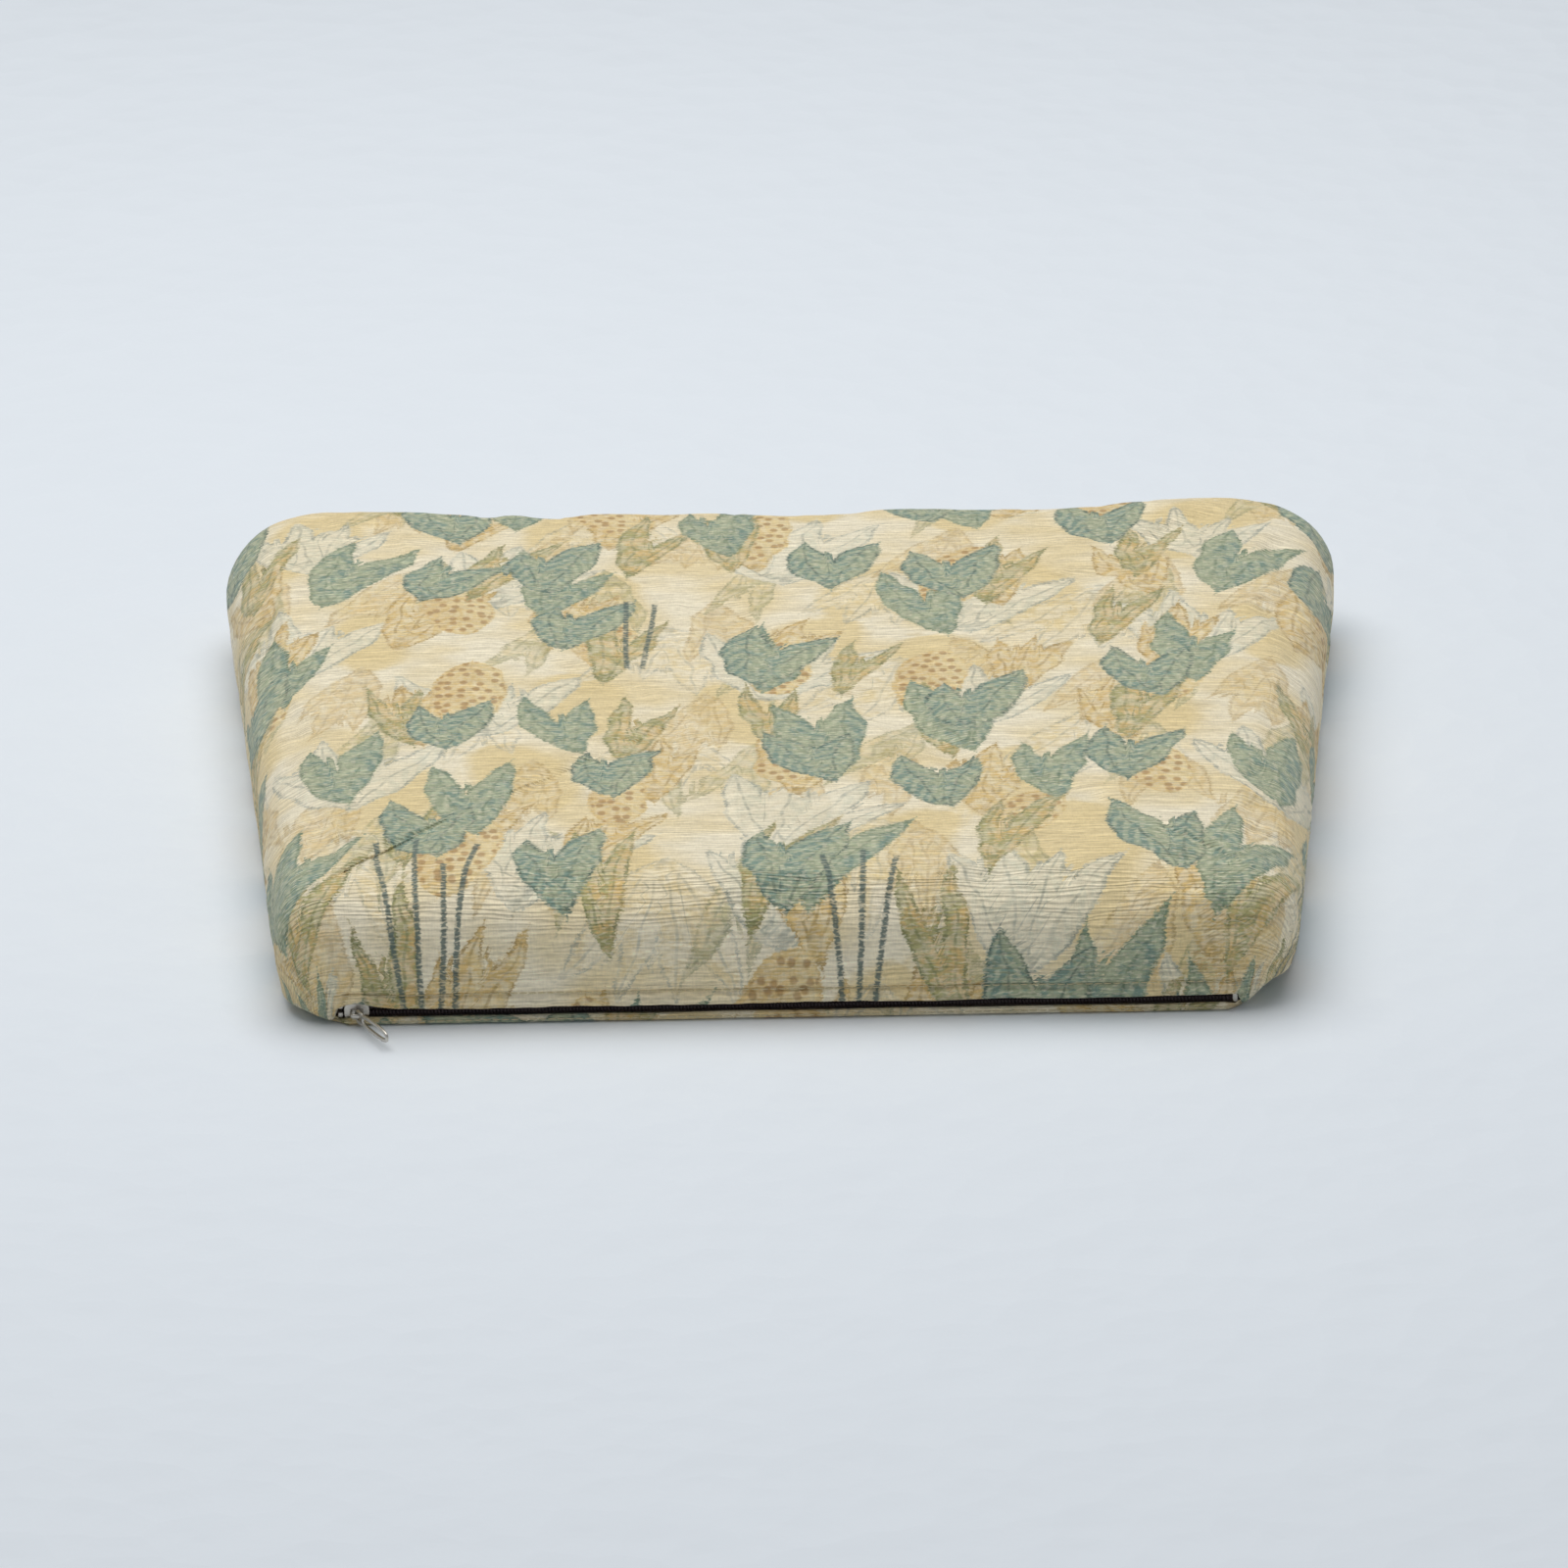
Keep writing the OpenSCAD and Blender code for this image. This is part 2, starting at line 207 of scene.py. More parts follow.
def new_material(name, **principled):
    """A material with a Principled shader whose sockets are set by name, and its tree and shader."""
    material = bpy.data.materials.new(name)
    material.use_nodes = True
    tree = material.node_tree
    shader = tree.nodes["Principled BSDF"]
    for key, value in principled.items():
        shader.inputs[key.replace("_", " ")].default_value = value
    return material, tree, shader


def grid_quads(rows, columns, closed):
    """Quads of a grid of rows by columns, joined across the last column where closed."""
    row = np.arange(rows - 1)[:, None] * columns
    column = np.arange(columns if closed else columns - 1)[None, :]
    after = (column + 1) % columns
    quads = np.stack([row + column, row + after, row + columns + after, row + columns + column], axis=-1)
    return quads.reshape(-1, 4)


def make_piece(name, points, faces, material, body, replaced, smooth=True):
    """A mesh object at the origin that rides on a body and stands for CAD nodes."""
    mesh = bpy.data.meshes.new(name)
    mesh.from_pydata(np.asarray(points, float).reshape(-1, 3).tolist(), [], [list(map(int, f)) for f in faces])
    mesh.polygons.foreach_set("use_smooth", [smooth] * len(mesh.polygons))
    mesh.materials.append(material)
    piece = bpy.data.objects.new(name, mesh)
    bpy.context.scene.collection.objects.link(piece)
    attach(piece, body)
    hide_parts(*replaced)
    return piece


def face_outwards(mesh):
    """Turns the faces of closed shells outwards."""
    work = bmesh.new()
    work.from_mesh(mesh)
    bmesh.ops.remove_doubles(work, verts=work.verts, dist=1e-7)
    bmesh.ops.recalc_face_normals(work, faces=work.faces)
    work.to_mesh(mesh)
    work.free()


def ripple(a, b, length, seed, waves=6):
    """Smooth uneven waves of about that length, from -1 to 1: a sum of sines in seeded directions."""
    draw = np.random.default_rng(seed)
    angles = draw.uniform(0, 2 * np.pi, waves)
    shifts = draw.uniform(0, 2 * np.pi, waves)
    scales = 2 * np.pi / (length * draw.uniform(0.7, 1.6, waves))
    total = sum(np.sin((a * np.cos(t) + b * np.sin(t)) * k + s) for t, s, k in zip(angles, shifts, scales))
    return total / math.sqrt(waves * 2)


# ---------------------------------------------------------------- the pad's plan


def corner_arcs(pad, short=0.0):
    """Centre, radius and side directions of the plan corners: front left, front right, back right, back left.

    Each side's line is moved in by the corner's radius from the sharp corner, and the two lines meet at the
    arc's centre. short draws the back edge forward along the two leaning sides."""
    depth = cover_high.y - cover_low.y
    lean = math.atan((pad.front_width - pad.back_width) / 2 / depth)
    rear = pad.back_width / 2 + (pad.front_width - pad.back_width) / 2 * short / depth
    sharp = np.array([[-pad.front_width / 2, cover_low.y], [pad.front_width / 2, cover_low.y],
                      [rear, cover_high.y - short], [-rear, cover_high.y - short]])
    facing = np.array([-math.pi / 2, lean, math.pi / 2, math.pi - lean])
    before = np.roll(facing, 1)
    before[0] -= 2 * math.pi
    radius = np.array([pad.front_radius, pad.front_radius, pad.back_radius, pad.back_radius])
    n0 = np.stack([np.cos(before), np.sin(before)], -1)
    n1 = np.stack([np.cos(facing), np.sin(facing)], -1)
    centre = sharp - radius[:, None] * (n0 + n1) / (1 + (n0 * n1).sum(-1, keepdims=True))
    return centre, radius, facing, (facing - before) / 2


def plan_outline(pad, side, along, short=0.0):
    """Point and outward direction on the plan outline.

    side is 0 front, 1 right, 2 back, 3 left, and along goes from -1 to 1 between the middles of its corner
    arcs, by length: half an arc, the straight, half an arc."""
    centre, radius, facing, half = corner_arcs(pad, short)
    nxt = (side + 1) % 4
    turn = facing[side]
    first = radius[side] * half[side]
    last = radius[nxt] * half[nxt]
    way = np.stack([-np.sin(turn), np.cos(turn)], -1)
    out = np.stack([np.cos(turn), np.sin(turn)], -1)
    begin = centre[side] + radius[side][..., None] * out
    end = centre[nxt] + radius[nxt][..., None] * out
    straight = np.linalg.norm(end - begin, axis=-1)
    run = (along + 1) / 2 * (first + straight + last)
    angle = turn + np.minimum(run - first, 0) / radius[side]
    angle = angle + np.maximum(run - first - straight, 0) / radius[nxt]
    normal = np.stack([np.cos(angle), np.sin(angle)], -1)
    on_first = (run < first)[..., None]
    on_last = (run > first + straight)[..., None]
    point = begin + way * (run - first)[..., None]
    point = np.where(on_first, centre[side] + radius[side][..., None] * normal, point)
    point = np.where(on_last, centre[nxt] + radius[nxt][..., None] * normal, point)
    return point, normal


def outline_loop(pad, columns, short=0.0):
    """The whole outline as columns points, and their outward directions."""
    q = np.arange(columns) / columns * 4
    side = q.astype(int)
    return plan_outline(pad, side, (q - side) * 2 - 1, short)


def square_grid(rings):
    """A square grid seen as rings round its middle: each point's ring, side and place along that side."""
    a, b = np.meshgrid(np.arange(-rings, rings + 1), np.arange(-rings, rings + 1), indexing="xy")
    ring = np.maximum(np.abs(a), np.abs(b))
    safe = np.maximum(ring, 1)
    side = np.select([(b == -ring) & (a < ring), (a == ring) & (b < ring), (b == ring) & (a > -ring)], [0, 1, 2], 3)
    along = np.select([side == 0, side == 1, side == 2], [a / safe, b / safe, -a / safe], -b / safe)
    return ring, side, along


# ---------------------------------------------------------------- cloth pattern

# One repeat of the woven pattern, as seen with the zip edge nearest: millimetres to the right and away.
REPEAT = (350.0, 520.0)
# Each layer is strewn in sprays: columns and rows of sprays in a repeat, motifs in a spray, degrees between
# them, how far a spray may lean in degrees, and the length, width and bow of a motif in millimetres.
LAYERS = {
    "sand": (4, 6, 1, 0, 40, 72, 38, 0),
    "lily": (4, 4, 4, 20, 15, 66, 15, 2),
    "gold": (5, 5, 3, 14, 20, 62, 12, 2),
    "berry": (5, 4, 1, 0, 20, 56, 27, 0),
    "olive": (5, 5, 2, 18, 18, 68, 10, 2),
    "sage": (4, 5, 2, 24, 18, 66, 15, 3),
    "teal": (5, 5, 2, 32, 20, 56, 18, 3),
}
# How far a spray strays from its grid point, in steps of the grid, and how much its motifs vary in size.
STRAY = 0.32
VARY = 0.18
# Dark stems stand in bundles: start (right, away) of the bundle, and how many stems.
BUNDLES = ((-140, -244, 4), (20, -240, 3), (-60, 10, 2))
STEM_GAP = 6.0
STEM_LENGTH = 78.0
STEM_WIDTH = 2.0


def strewn(name):
    """The motifs of one layer, each as its middle (right, away), length, width, direction in degrees and bow.

    Sprays stand on a half-drop grid, moved, leant and sized by a seeded random number, and the motifs of a
    spray fan out from its foot."""
    columns, rows, count, fan, lean, length, width, bow = LAYERS[name]
    random = np.random.RandomState(sum(name.encode()))
    motifs = []
    for place in range(columns * rows):
        column, row = place % columns, place // columns
        foot_right = (column + random.uniform(-STRAY, STRAY)) / columns * REPEAT[0]
        foot_away = (row + column % 2 / 2 + random.uniform(-STRAY, STRAY)) / rows * REPEAT[1]
        heading = 85 + random.uniform(-lean, lean)
        for n in range(count):
            turn = heading + fan * (n - (count - 1) / 2)
            size = 1 + random.uniform(-VARY, VARY)
            reach = length * size / 2
            right = foot_right + reach * math.cos(math.radians(turn))
            away = foot_away + reach * math.sin(math.radians(turn))
            motifs.append((right, away, length * size, width * size, turn, bow))
    return motifs


def stems():
    """The dark stems, each as start (right, away), end (right, away), width and bow: a bundle leans apart."""
    random = np.random.RandomState(7)
    lines = []
    for right, away, count in BUNDLES:
        for n in range(count):
            start = right + STEM_GAP * n
            end = start + STEM_GAP * (n - (count - 1) / 2) + random.uniform(-3, 3)
            length = STEM_LENGTH * (1 + random.uniform(-VARY, VARY))
            lines.append((start, away, end, away + length, STEM_WIDTH, random.uniform(-3, 3)))
    return lines


def wrapped(value, middle, repeat):
    """Signed distance from a middle to the nearest copy in a repeat."""
    return (value - middle + repeat / 2) % repeat - repeat / 2


# How a motif narrows towards its tips: half is round, one is a pointed leaf.
POINTED = {"sand": 0.5, "berry": 0.5, "lily": 0.8, "gold": 0.9}
# Paler layers that reuse other layers' motifs, turned end for end and shifted (right, away).
FAINT = {"faint_petal": ("gold", 60, 150), "faint_leaf": ("olive", -70, 40), "faint_line": ("lily", 120, 60)}


def motif_field(right, away, motifs, power):
    """Rough distance from the nearest motif's edge, place along it from -1 to 1, place across it and half width.

    A motif is a lens: its half width falls from the middle to the tips as (1 - t * t) to a power, with t the
    place along it, and its middle line is bowed by the same 1 - t * t. Lengths are in millimetres."""
    best = np.full((len(right), 4), 60.0)
    for u, w, length, width, turn, bow in motifs:
        du = wrapped(right, u, REPEAT[0])
        dw = wrapped(away, w, REPEAT[1])
        c, s = math.cos(math.radians(turn)), math.sin(math.radians(turn))
        t = (du * c + dw * s) / (length / 2)
        body = np.maximum(1 - t * t, 0)
        across = dw * c - du * s - bow * body
        past = np.hypot((np.abs(t) - 1) * length / 2, across)
        distance = np.where(np.abs(t) < 1, np.abs(across) - width / 2 * body ** power, past)
        nearer = distance < best[:, 0]
        best[nearer] = np.stack([distance, t, across, np.full_like(t, width / 2)], -1)[nearer]
    return best


def weave_pattern(mesh, cloth):
    """Stores the cloth's flat coordinates as a UV map in metres, and each motif layer as a colour attribute."""
    corner = np.empty(len(mesh.loops), np.int32)
    mesh.loops.foreach_get("vertex_index", corner)
    layer = mesh.uv_layers.new(name="cloth")
    layer.uv.foreach_set("vector", cloth[corner].astype(np.float32).ravel())
    right, away = cloth[:, 0] / MM, cloth[:, 1] / MM
    right, away = right + 1.2 * ripple(right, away, 19, 41), away + 1.2 * ripple(right, away, 19, 42)
    fields = {name: motif_field(right, away, strewn(name), POINTED.get(name, 1.0)) for name in LAYERS}
    for name, (source, shift_right, shift_away) in FAINT.items():
        fields[name] = motif_field(shift_right - right, shift_away - away, strewn(source), POINTED.get(source, 1.0))
    for name, field in fields.items():
        attribute = mesh.attributes.new(name, "FLOAT_COLOR", "POINT")
        attribute.data.foreach_set("color", field.astype(np.float32).ravel())


# ---------------------------------------------------------------- materials


# The ribs of the tapestry, how far its veins run along a motif, and how far an exact edge may lie from the
# rough one, in millimetres
RIB_PITCH = 1.9
VEIN_REACH = 24.0
ROUGH_SLACK = 2.0


def tapestry_material(colours):
    """Jacquard tapestry, cotton and viscose, woven on a ribbed ground.

    To the eye: matt, with a soft bloom at glancing angles, uneven ribs about 1.9 mm apart running across the
    pad, and motifs whose edges step from thread to thread."""
    material, tree, shader = new_material("cotton_tapestry", Roughness=0.88, Sheen_Weight=0.18,
                                          Sheen_Roughness=0.5, Specular_IOR_Level=0.22)
    uv = add(tree, "UVMap", uv_map="cloth")
    flat = add(tree, "VectorMath MULTIPLY", uv, (1000, 1000, 1000))
    split = add(tree, "SeparateXYZ", flat)
    right, away = split.outputs[0], split.outputs[1]

    def streak(across, along, detail=2.0):
        """Noise with grains of that size in millimetres, to the right and away."""
        scaled = add(tree, "VectorMath MULTIPLY", flat, (1 / across, 1 / along, 1))
        return add(tree, "TexNoise", {"Vector": scaled, "Scale": 1.0, "Detail": detail}, noise_dimensions="2D")

    slub = streak(14, 0.95)
    thread = streak(0.75, 3.2)
    blotch = streak(46, 34)
    stepped = add(tree, "Math MULTIPLY_ADD", streak(1.8, 0.9, 1.0), 3.0, -1.5)

    cloudy = streak(11, 8)
    gaps = add(tree, "MapRange SMOOTHSTEP", streak(9, 6), 0.40, 0.60, 1.0, 0.0)
    dash = add(tree, "Math SUBTRACT", streak(3.4, 1.0), 0.5)
    flecks = add(tree, "MapRange SMOOTHSTEP", streak(2.6, 0.9, 0.0), 0.30, 0.46, 1.0, 0.0)
    flecks = add(tree, "Math MULTIPLY", flecks, 0.34)

    def motif(name):
        """A motif layer's true distance from its edge, and its places along and across, in millimetres."""
        stored = add(tree, "Attribute", attribute_name=name)
        place = add(tree, "SeparateXYZ", stored.outputs["Color"])
        t, spread = place.outputs[1], add(tree, "Math ABSOLUTE", place.outputs[2])
        body = add(tree, "Math MULTIPLY_ADD", add(tree, "Math MULTIPLY", t, t), -1.0, 1.0)
        body = add(tree, "Math MAXIMUM", body, 0.0)
        source = FAINT[name][0] if name in FAINT else name
        profile = add(tree, "Math POWER", body, POINTED.get(source, 1.0))
        half_width = add(tree, "Math MULTIPLY", stored.outputs["Alpha"], profile)
        exact = add(tree, "Math SUBTRACT", spread, half_width)
        least = add(tree, "Math SUBTRACT", place.outputs[0], ROUGH_SLACK)
        most = add(tree, "Math ADD", place.outputs[0], ROUGH_SLACK)
        exact = add(tree, "Math MAXIMUM", add(tree, "Math MINIMUM", exact, most), least)
        return exact, add(tree, "Math MULTIPLY", t, VEIN_REACH), place.outputs[2]

    def paint(colour, name, fill, shade, vein_colour, line, pitch, strength, outline, body=1.0):
        """Adds one motif layer: its mottled fill, its pale veins, its midrib and its darker outline."""
        edge, along, across = motif(name)
        spread = add(tree, "Math ABSOLUTE", across)
        distance = add(tree, "Math ADD", edge, stepped)
        mask = add(tree, "Math MULTIPLY", add(tree, "MapRange SMOOTHSTEP", distance, -0.6, 0.6, 1.0, 0.0), body)
        slant = add(tree, "Math MULTIPLY_ADD", spread, 1.2, along)
        turns = add(tree, "Math MULTIPLY", slant, 2 * math.pi / pitch)
        wave = add(tree, "Math SINE", add(tree, "Math MULTIPLY_ADD", cloudy, 6.0, turns))
        broken = add(tree, "Math MULTIPLY_ADD", dash, 2.4, wave)
        veins = add(tree, "MapRange SMOOTHSTEP", broken, -0.9, 0.5, 1.0, 0.0)
        veins = add(tree, "Math MULTIPLY", veins, strength)
        tone = add(tree, "Math MULTIPLY_ADD", dash, 0.9, add(tree, "Math MULTIPLY_ADD", across, 0.03, cloudy))
        mottled = add(tree, "MapRange SMOOTHSTEP", tone, 0.3, 0.66, 1.0, 0.0)
        inner = add(tree, "Mix RGBA", mottled, linear(fill), linear(shade))
        inner = add(tree, "Mix RGBA", veins, inner, linear(vein_colour))
        rim = add(tree, "Math ABSOLUTE", add(tree, "Math ADD", distance, outline))
        rim = add(tree, "MapRange SMOOTHSTEP", rim, 0.1, 0.5 + outline, 1.0, 0.0)
        rib = add(tree, "MapRange SMOOTHSTEP", spread, 0.2, 0.9, 1.0, 0.0)
        lines = add(tree, "Math MAXIMUM", rim, add(tree, "Math MULTIPLY", rib, 0.7))
        lines = add(tree, "Math MULTIPLY", lines, add(tree, "Math MULTIPLY_ADD", gaps, 0.5, 0.32))
        inner = add(tree, "Mix RGBA", lines, inner, linear(line))
        inner = add(tree, "Mix RGBA", flecks, inner, linear(colours.ground))
        return add(tree, "Mix RGBA", mask, colour, inner)

    tint = add(tree, "MapRange", {"Value": blotch, "From Min": 0.38, "From Max": 0.66, "To Max": 0.7})
    colour = add(tree, "Mix RGBA", tint, linear(colours.ground), linear(colours.sand))
    sand = add(tree, "Math MULTIPLY_ADD", dash, 5.0, motif("sand")[0])
    sand = add(tree, "MapRange SMOOTHSTEP", sand, -4.0, 5.0, 1.0, 0.0)
    colour = add(tree, "Mix RGBA", add(tree, "Math MULTIPLY", sand, 0.85), colour, linear(colours.sand))
    colour = paint(colour, "faint_line", colours.ground, colours.sand, colours.ground, colours.lily_line,
                   9.0, 0.4, 0.7, 0.6)
    colour = paint(colour, "faint_petal", colours.gold, colours.sand, colours.ground, colours.gold_line,
                   8.0, 0.4, 0.6, 0.65)
    colour = paint(colour, "faint_leaf", colours.olive, colours.sand, colours.ground, colours.olive_line,
                   9.0, 0.4, 0.6, 0.65)
    colour = paint(colour, "lily", colours.lily, colours.haze, colours.ground, colours.lily_line, 7.0, 0.5, 0.7, 0.8)
    colour = paint(colour, "gold", colours.gold, colours.sand, colours.ground, colours.gold_line, 8.0, 0.4, 0.6)
    colour = paint(colour, "berry", colours.berry, colours.sand, colours.ground, colours.gold, 7.0, 0.2, 0.6)
    cells = add(tree, "VectorMath MULTIPLY", flat, (1 / 5.4, 1 / 6.6, 1))
    dots = add(tree, "TexVoronoi", {"Vector": cells, "Scale": 1.0, "Randomness": 0.7},
               voronoi_dimensions="2D").outputs["Distance"]
    on_head = add(tree, "Math ADD", motif("berry")[0], stepped)
    on_head = add(tree, "MapRange SMOOTHSTEP", on_head, -1.5, -0.5, 1.0, 0.0)
    dots = add(tree, "Math MULTIPLY_ADD", dash, 0.16, dots)
    dotted = add(tree, "Math MULTIPLY", on_head, add(tree, "MapRange SMOOTHSTEP", dots, 0.18, 0.38, 1.0, 0.0))
    colour = add(tree, "Mix RGBA", add(tree, "Math MULTIPLY", dotted, 0.65), colour, linear(colours.berry_dot))
    colour = paint(colour, "olive", colours.olive, colours.gold, colours.ground, colours.olive_line, 14.0, 0.3, 0.7)
    colour = paint(colour, "sage", colours.sage, colours.teal, colours.hatch, colours.sage_line, 8.0, 0.5, 0.6)
    colour = paint(colour, "teal", colours.teal, colours.sage, colours.hatch, colours.teal_line, 6.5, 0.5, 0.7)
    stalks = add(tree, "Math MULTIPLY_ADD", flecks, -1.6, 0.9)
    stalks = add(tree, "Math MULTIPLY", stem_mask(tree, right, away, stepped), stalks)
    colour = add(tree, "Mix RGBA", stalks, colour, linear(colours.stem))

    heather = add(tree, "Math MULTIPLY_ADD", slub, 0.5, 0.75)
    heather = add(tree, "Math MULTIPLY", heather, add(tree, "Math MULTIPLY_ADD", thread, 0.2, 0.9))
    phase = add(tree, "Math MULTIPLY_ADD", streak(38, 5), 2.6, add(tree, "Math DIVIDE", away, RIB_PITCH))
    rib = add(tree, "Math SINE", add(tree, "Math MULTIPLY", phase, 2 * math.pi))
    heather = add(tree, "Math MULTIPLY", heather, add(tree, "Math MULTIPLY_ADD", dash, 0.35, 1.0))
    heather = add(tree, "Math MULTIPLY", heather, add(tree, "Math MULTIPLY_ADD", rib, 0.08, 0.98))
    scaled = add(tree, "VectorMath SCALE", colour, heather)
    tree.links.new(scaled.outputs[0], shader.inputs["Base Color"])

    relief = add(tree, "Math MULTIPLY_ADD", rib, 0.6, add(tree, "Math MULTIPLY", slub, 1.6))
    relief = add(tree, "Math MULTIPLY_ADD", thread, 0.5, relief)
    bump = add(tree, "Bump", {"Height": relief, "Strength": 0.7, "Distance": 0.00035})
    tree.links.new(bump.outputs[0], shader.inputs["Normal"])
    return material


def stem_mask(tree, right, away, stepped):
    """1 on the dark stems: each is a line from its start to its end, bowed by a parabola, of constant width."""
    u = add(tree, "Math WRAP", right, REPEAT[0] / 2 - 50, -REPEAT[0] / 2 - 50)
    place = add(tree, "CombineXYZ", u, away)
    nearest = None
    for u0, w0, u1, w1, width, bow in stems():
        length = math.hypot(u1 - u0, w1 - w0)
        turn = math.atan2(w1 - w0, u1 - u0)
        local = add(tree, "Mapping", {"Vector": place, "Location": (u0, w0, 0), "Rotation": (0, 0, turn)},
                    vector_type="TEXTURE")
        split = add(tree, "SeparateXYZ", local)
        rest = add(tree, "Math SUBTRACT", length, split.outputs[0])
        bowed = add(tree, "Math MULTIPLY", rest, split.outputs[0])
        bowed = add(tree, "Math MULTIPLY", bowed, 4 * bow / length ** 2)
        across = add(tree, "Math ABSOLUTE", add(tree, "Math SUBTRACT", split.outputs[1], bowed))
        before = add(tree, "Math MULTIPLY", split.outputs[0], -1.0)
        beyond = add(tree, "Math MAXIMUM", before, add(tree, "Math MULTIPLY", rest, -1.0))
        distance = add(tree, "Math MAXIMUM", add(tree, "Math SUBTRACT", across, width / 2), beyond)
        nearest = distance if nearest is None else add(tree, "Math MINIMUM", nearest, distance)
    nearest = add(tree, "Math MULTIPLY_ADD", stepped, 0.5, nearest)
    return add(tree, "MapRange SMOOTHSTEP", nearest, -0.4, 0.5, 1.0, 0.0)


def cloth_material(name, code, size, roughness=0.9):
    """Plain-woven cloth: two crossed sets of threads of that spacing, matt, slightly uneven in tone."""
    material, tree, shader = new_material(name, Roughness=roughness, Sheen_Weight=0.15, Specular_IOR_Level=0.25)
    place = add(tree, "TexCoord").outputs["Object"]
    heights = []
    for direction in ("X", "Y", "Z"):
        wave = add(tree, "TexWave", {"Vector": place, "Scale": 0.16 / size, "Distortion": 0.6},
                   bands_direction=direction)
        heights.append(wave.outputs["Fac"])
    weave = add(tree, "Math MULTIPLY", add(tree, "Math ADD", heights[0], heights[1]), heights[2])
    noise = add(tree, "TexNoise", {"Vector": place, "Scale": 0.25 / size, "Detail": 3.0}).outputs[0]
    tone = add(tree, "Math MULTIPLY_ADD", noise, 0.3, 0.85)
    tone = add(tree, "Math MULTIPLY", tone, add(tree, "Math MULTIPLY_ADD", weave, 0.12, 0.9))
    scaled = add(tree, "VectorMath SCALE", linear(code)[:3], tone)
    tree.links.new(scaled.outputs[0], shader.inputs["Base Color"])
    bump = add(tree, "Bump", {"Height": weave, "Strength": 0.6, "Distance": size * 0.3})
    tree.links.new(bump.outputs[0], shader.inputs["Normal"])
    return material


def grain_material(name, code, size, contrast, **principled):
    """A cast, moulded, foamed or felted finish: grains of that size vary its tone and its relief."""
    material, tree, shader = new_material(name, **principled)
    place = add(tree, "TexCoord").outputs["Object"]
    grain = add(tree, "TexVoronoi", {"Vector": place, "Scale": 1 / size}).outputs["Distance"]
    cloud = add(tree, "TexNoise", {"Vector": place, "Scale": 0.3 / size, "Detail": 4.0}).outputs[0]
    both = add(tree, "Math MULTIPLY_ADD", grain, 0.5, cloud)
    tone = add(tree, "Math MULTIPLY_ADD", both, contrast, 1 - contrast * 0.75)
    scaled = add(tree, "VectorMath SCALE", linear(code)[:3], tone)
    tree.links.new(scaled.outputs[0], shader.inputs["Base Color"])
    bump = add(tree, "Bump", {"Height": both, "Strength": 0.35, "Distance": size * 0.25})
    tree.links.new(bump.outputs[0], shader.inputs["Normal"])
    return material


def material_of(name, make):
    """The material of that name, made once."""
    return bpy.data.materials.get(name) or make()


def nickel(colours):
    """Zinc die casting, tumbled and nickel plated: a warm grey metal, softly worn, not mirror bright."""
    return material_of("nickel_plated_zinc", lambda: grain_material(
        "nickel_plated_zinc", colours.nickel, 0.0006, 0.25, Metallic=1.0, Roughness=0.34))


def thread_finish(colours):
    """Twisted polyester sewing thread: fine, with a slight sheen."""
    return material_of("polyester_thread", lambda: cloth_material("polyester_thread", colours.thread, 0.0004, 0.6))


# ---------------------------------------------------------------- the cover


# The seam allowance turns in and up behind the seam: these far in, and these far up.
SEAM_IN = np.array([0.0010, 0.0025])
SEAM_UP = np.array([0.0004, 0.0016])


def side_profile(pad, hemmed):
    """Length of cloth from the top's edge, with the side's inset and height there, at places down the side.

    A quarter turn of the edge radius, a straight wall, and then either the turn under to the seam, or the
    flap's fold and the hem that goes back up behind it."""
    quarter = np.linspace(0, math.pi / 2, 24)
    inset = pad.edge_radius * (1 - np.sin(quarter))
    height = pad.edge_height - pad.edge_radius * (1 - np.cos(quarter))
    if hemmed:
        fold = np.linspace(0, math.pi, 14)
        turn_in = pad.cloth * (1 - np.cos(fold))
        turn_up = FLAP_Z + pad.cloth * (1 - np.sin(fold))
        inset = np.concatenate([inset, turn_in, [2 * pad.cloth]])
        height = np.concatenate([height, turn_up, [FLAP_Z + pad.hem]])
    else:
        turn = np.linspace(0, math.pi / 2, 14)
        inset = np.concatenate([inset, pad.under_radius * (1 - np.cos(turn)), pad.under_radius + SEAM_IN])
        height = np.concatenate([height, pad.under_radius * (1 - np.sin(turn)), SEAM_UP])
    steps = np.hypot(np.diff(inset), np.diff(height))
    run = np.concatenate([[0], np.cumsum(steps)])
    return run, inset, height


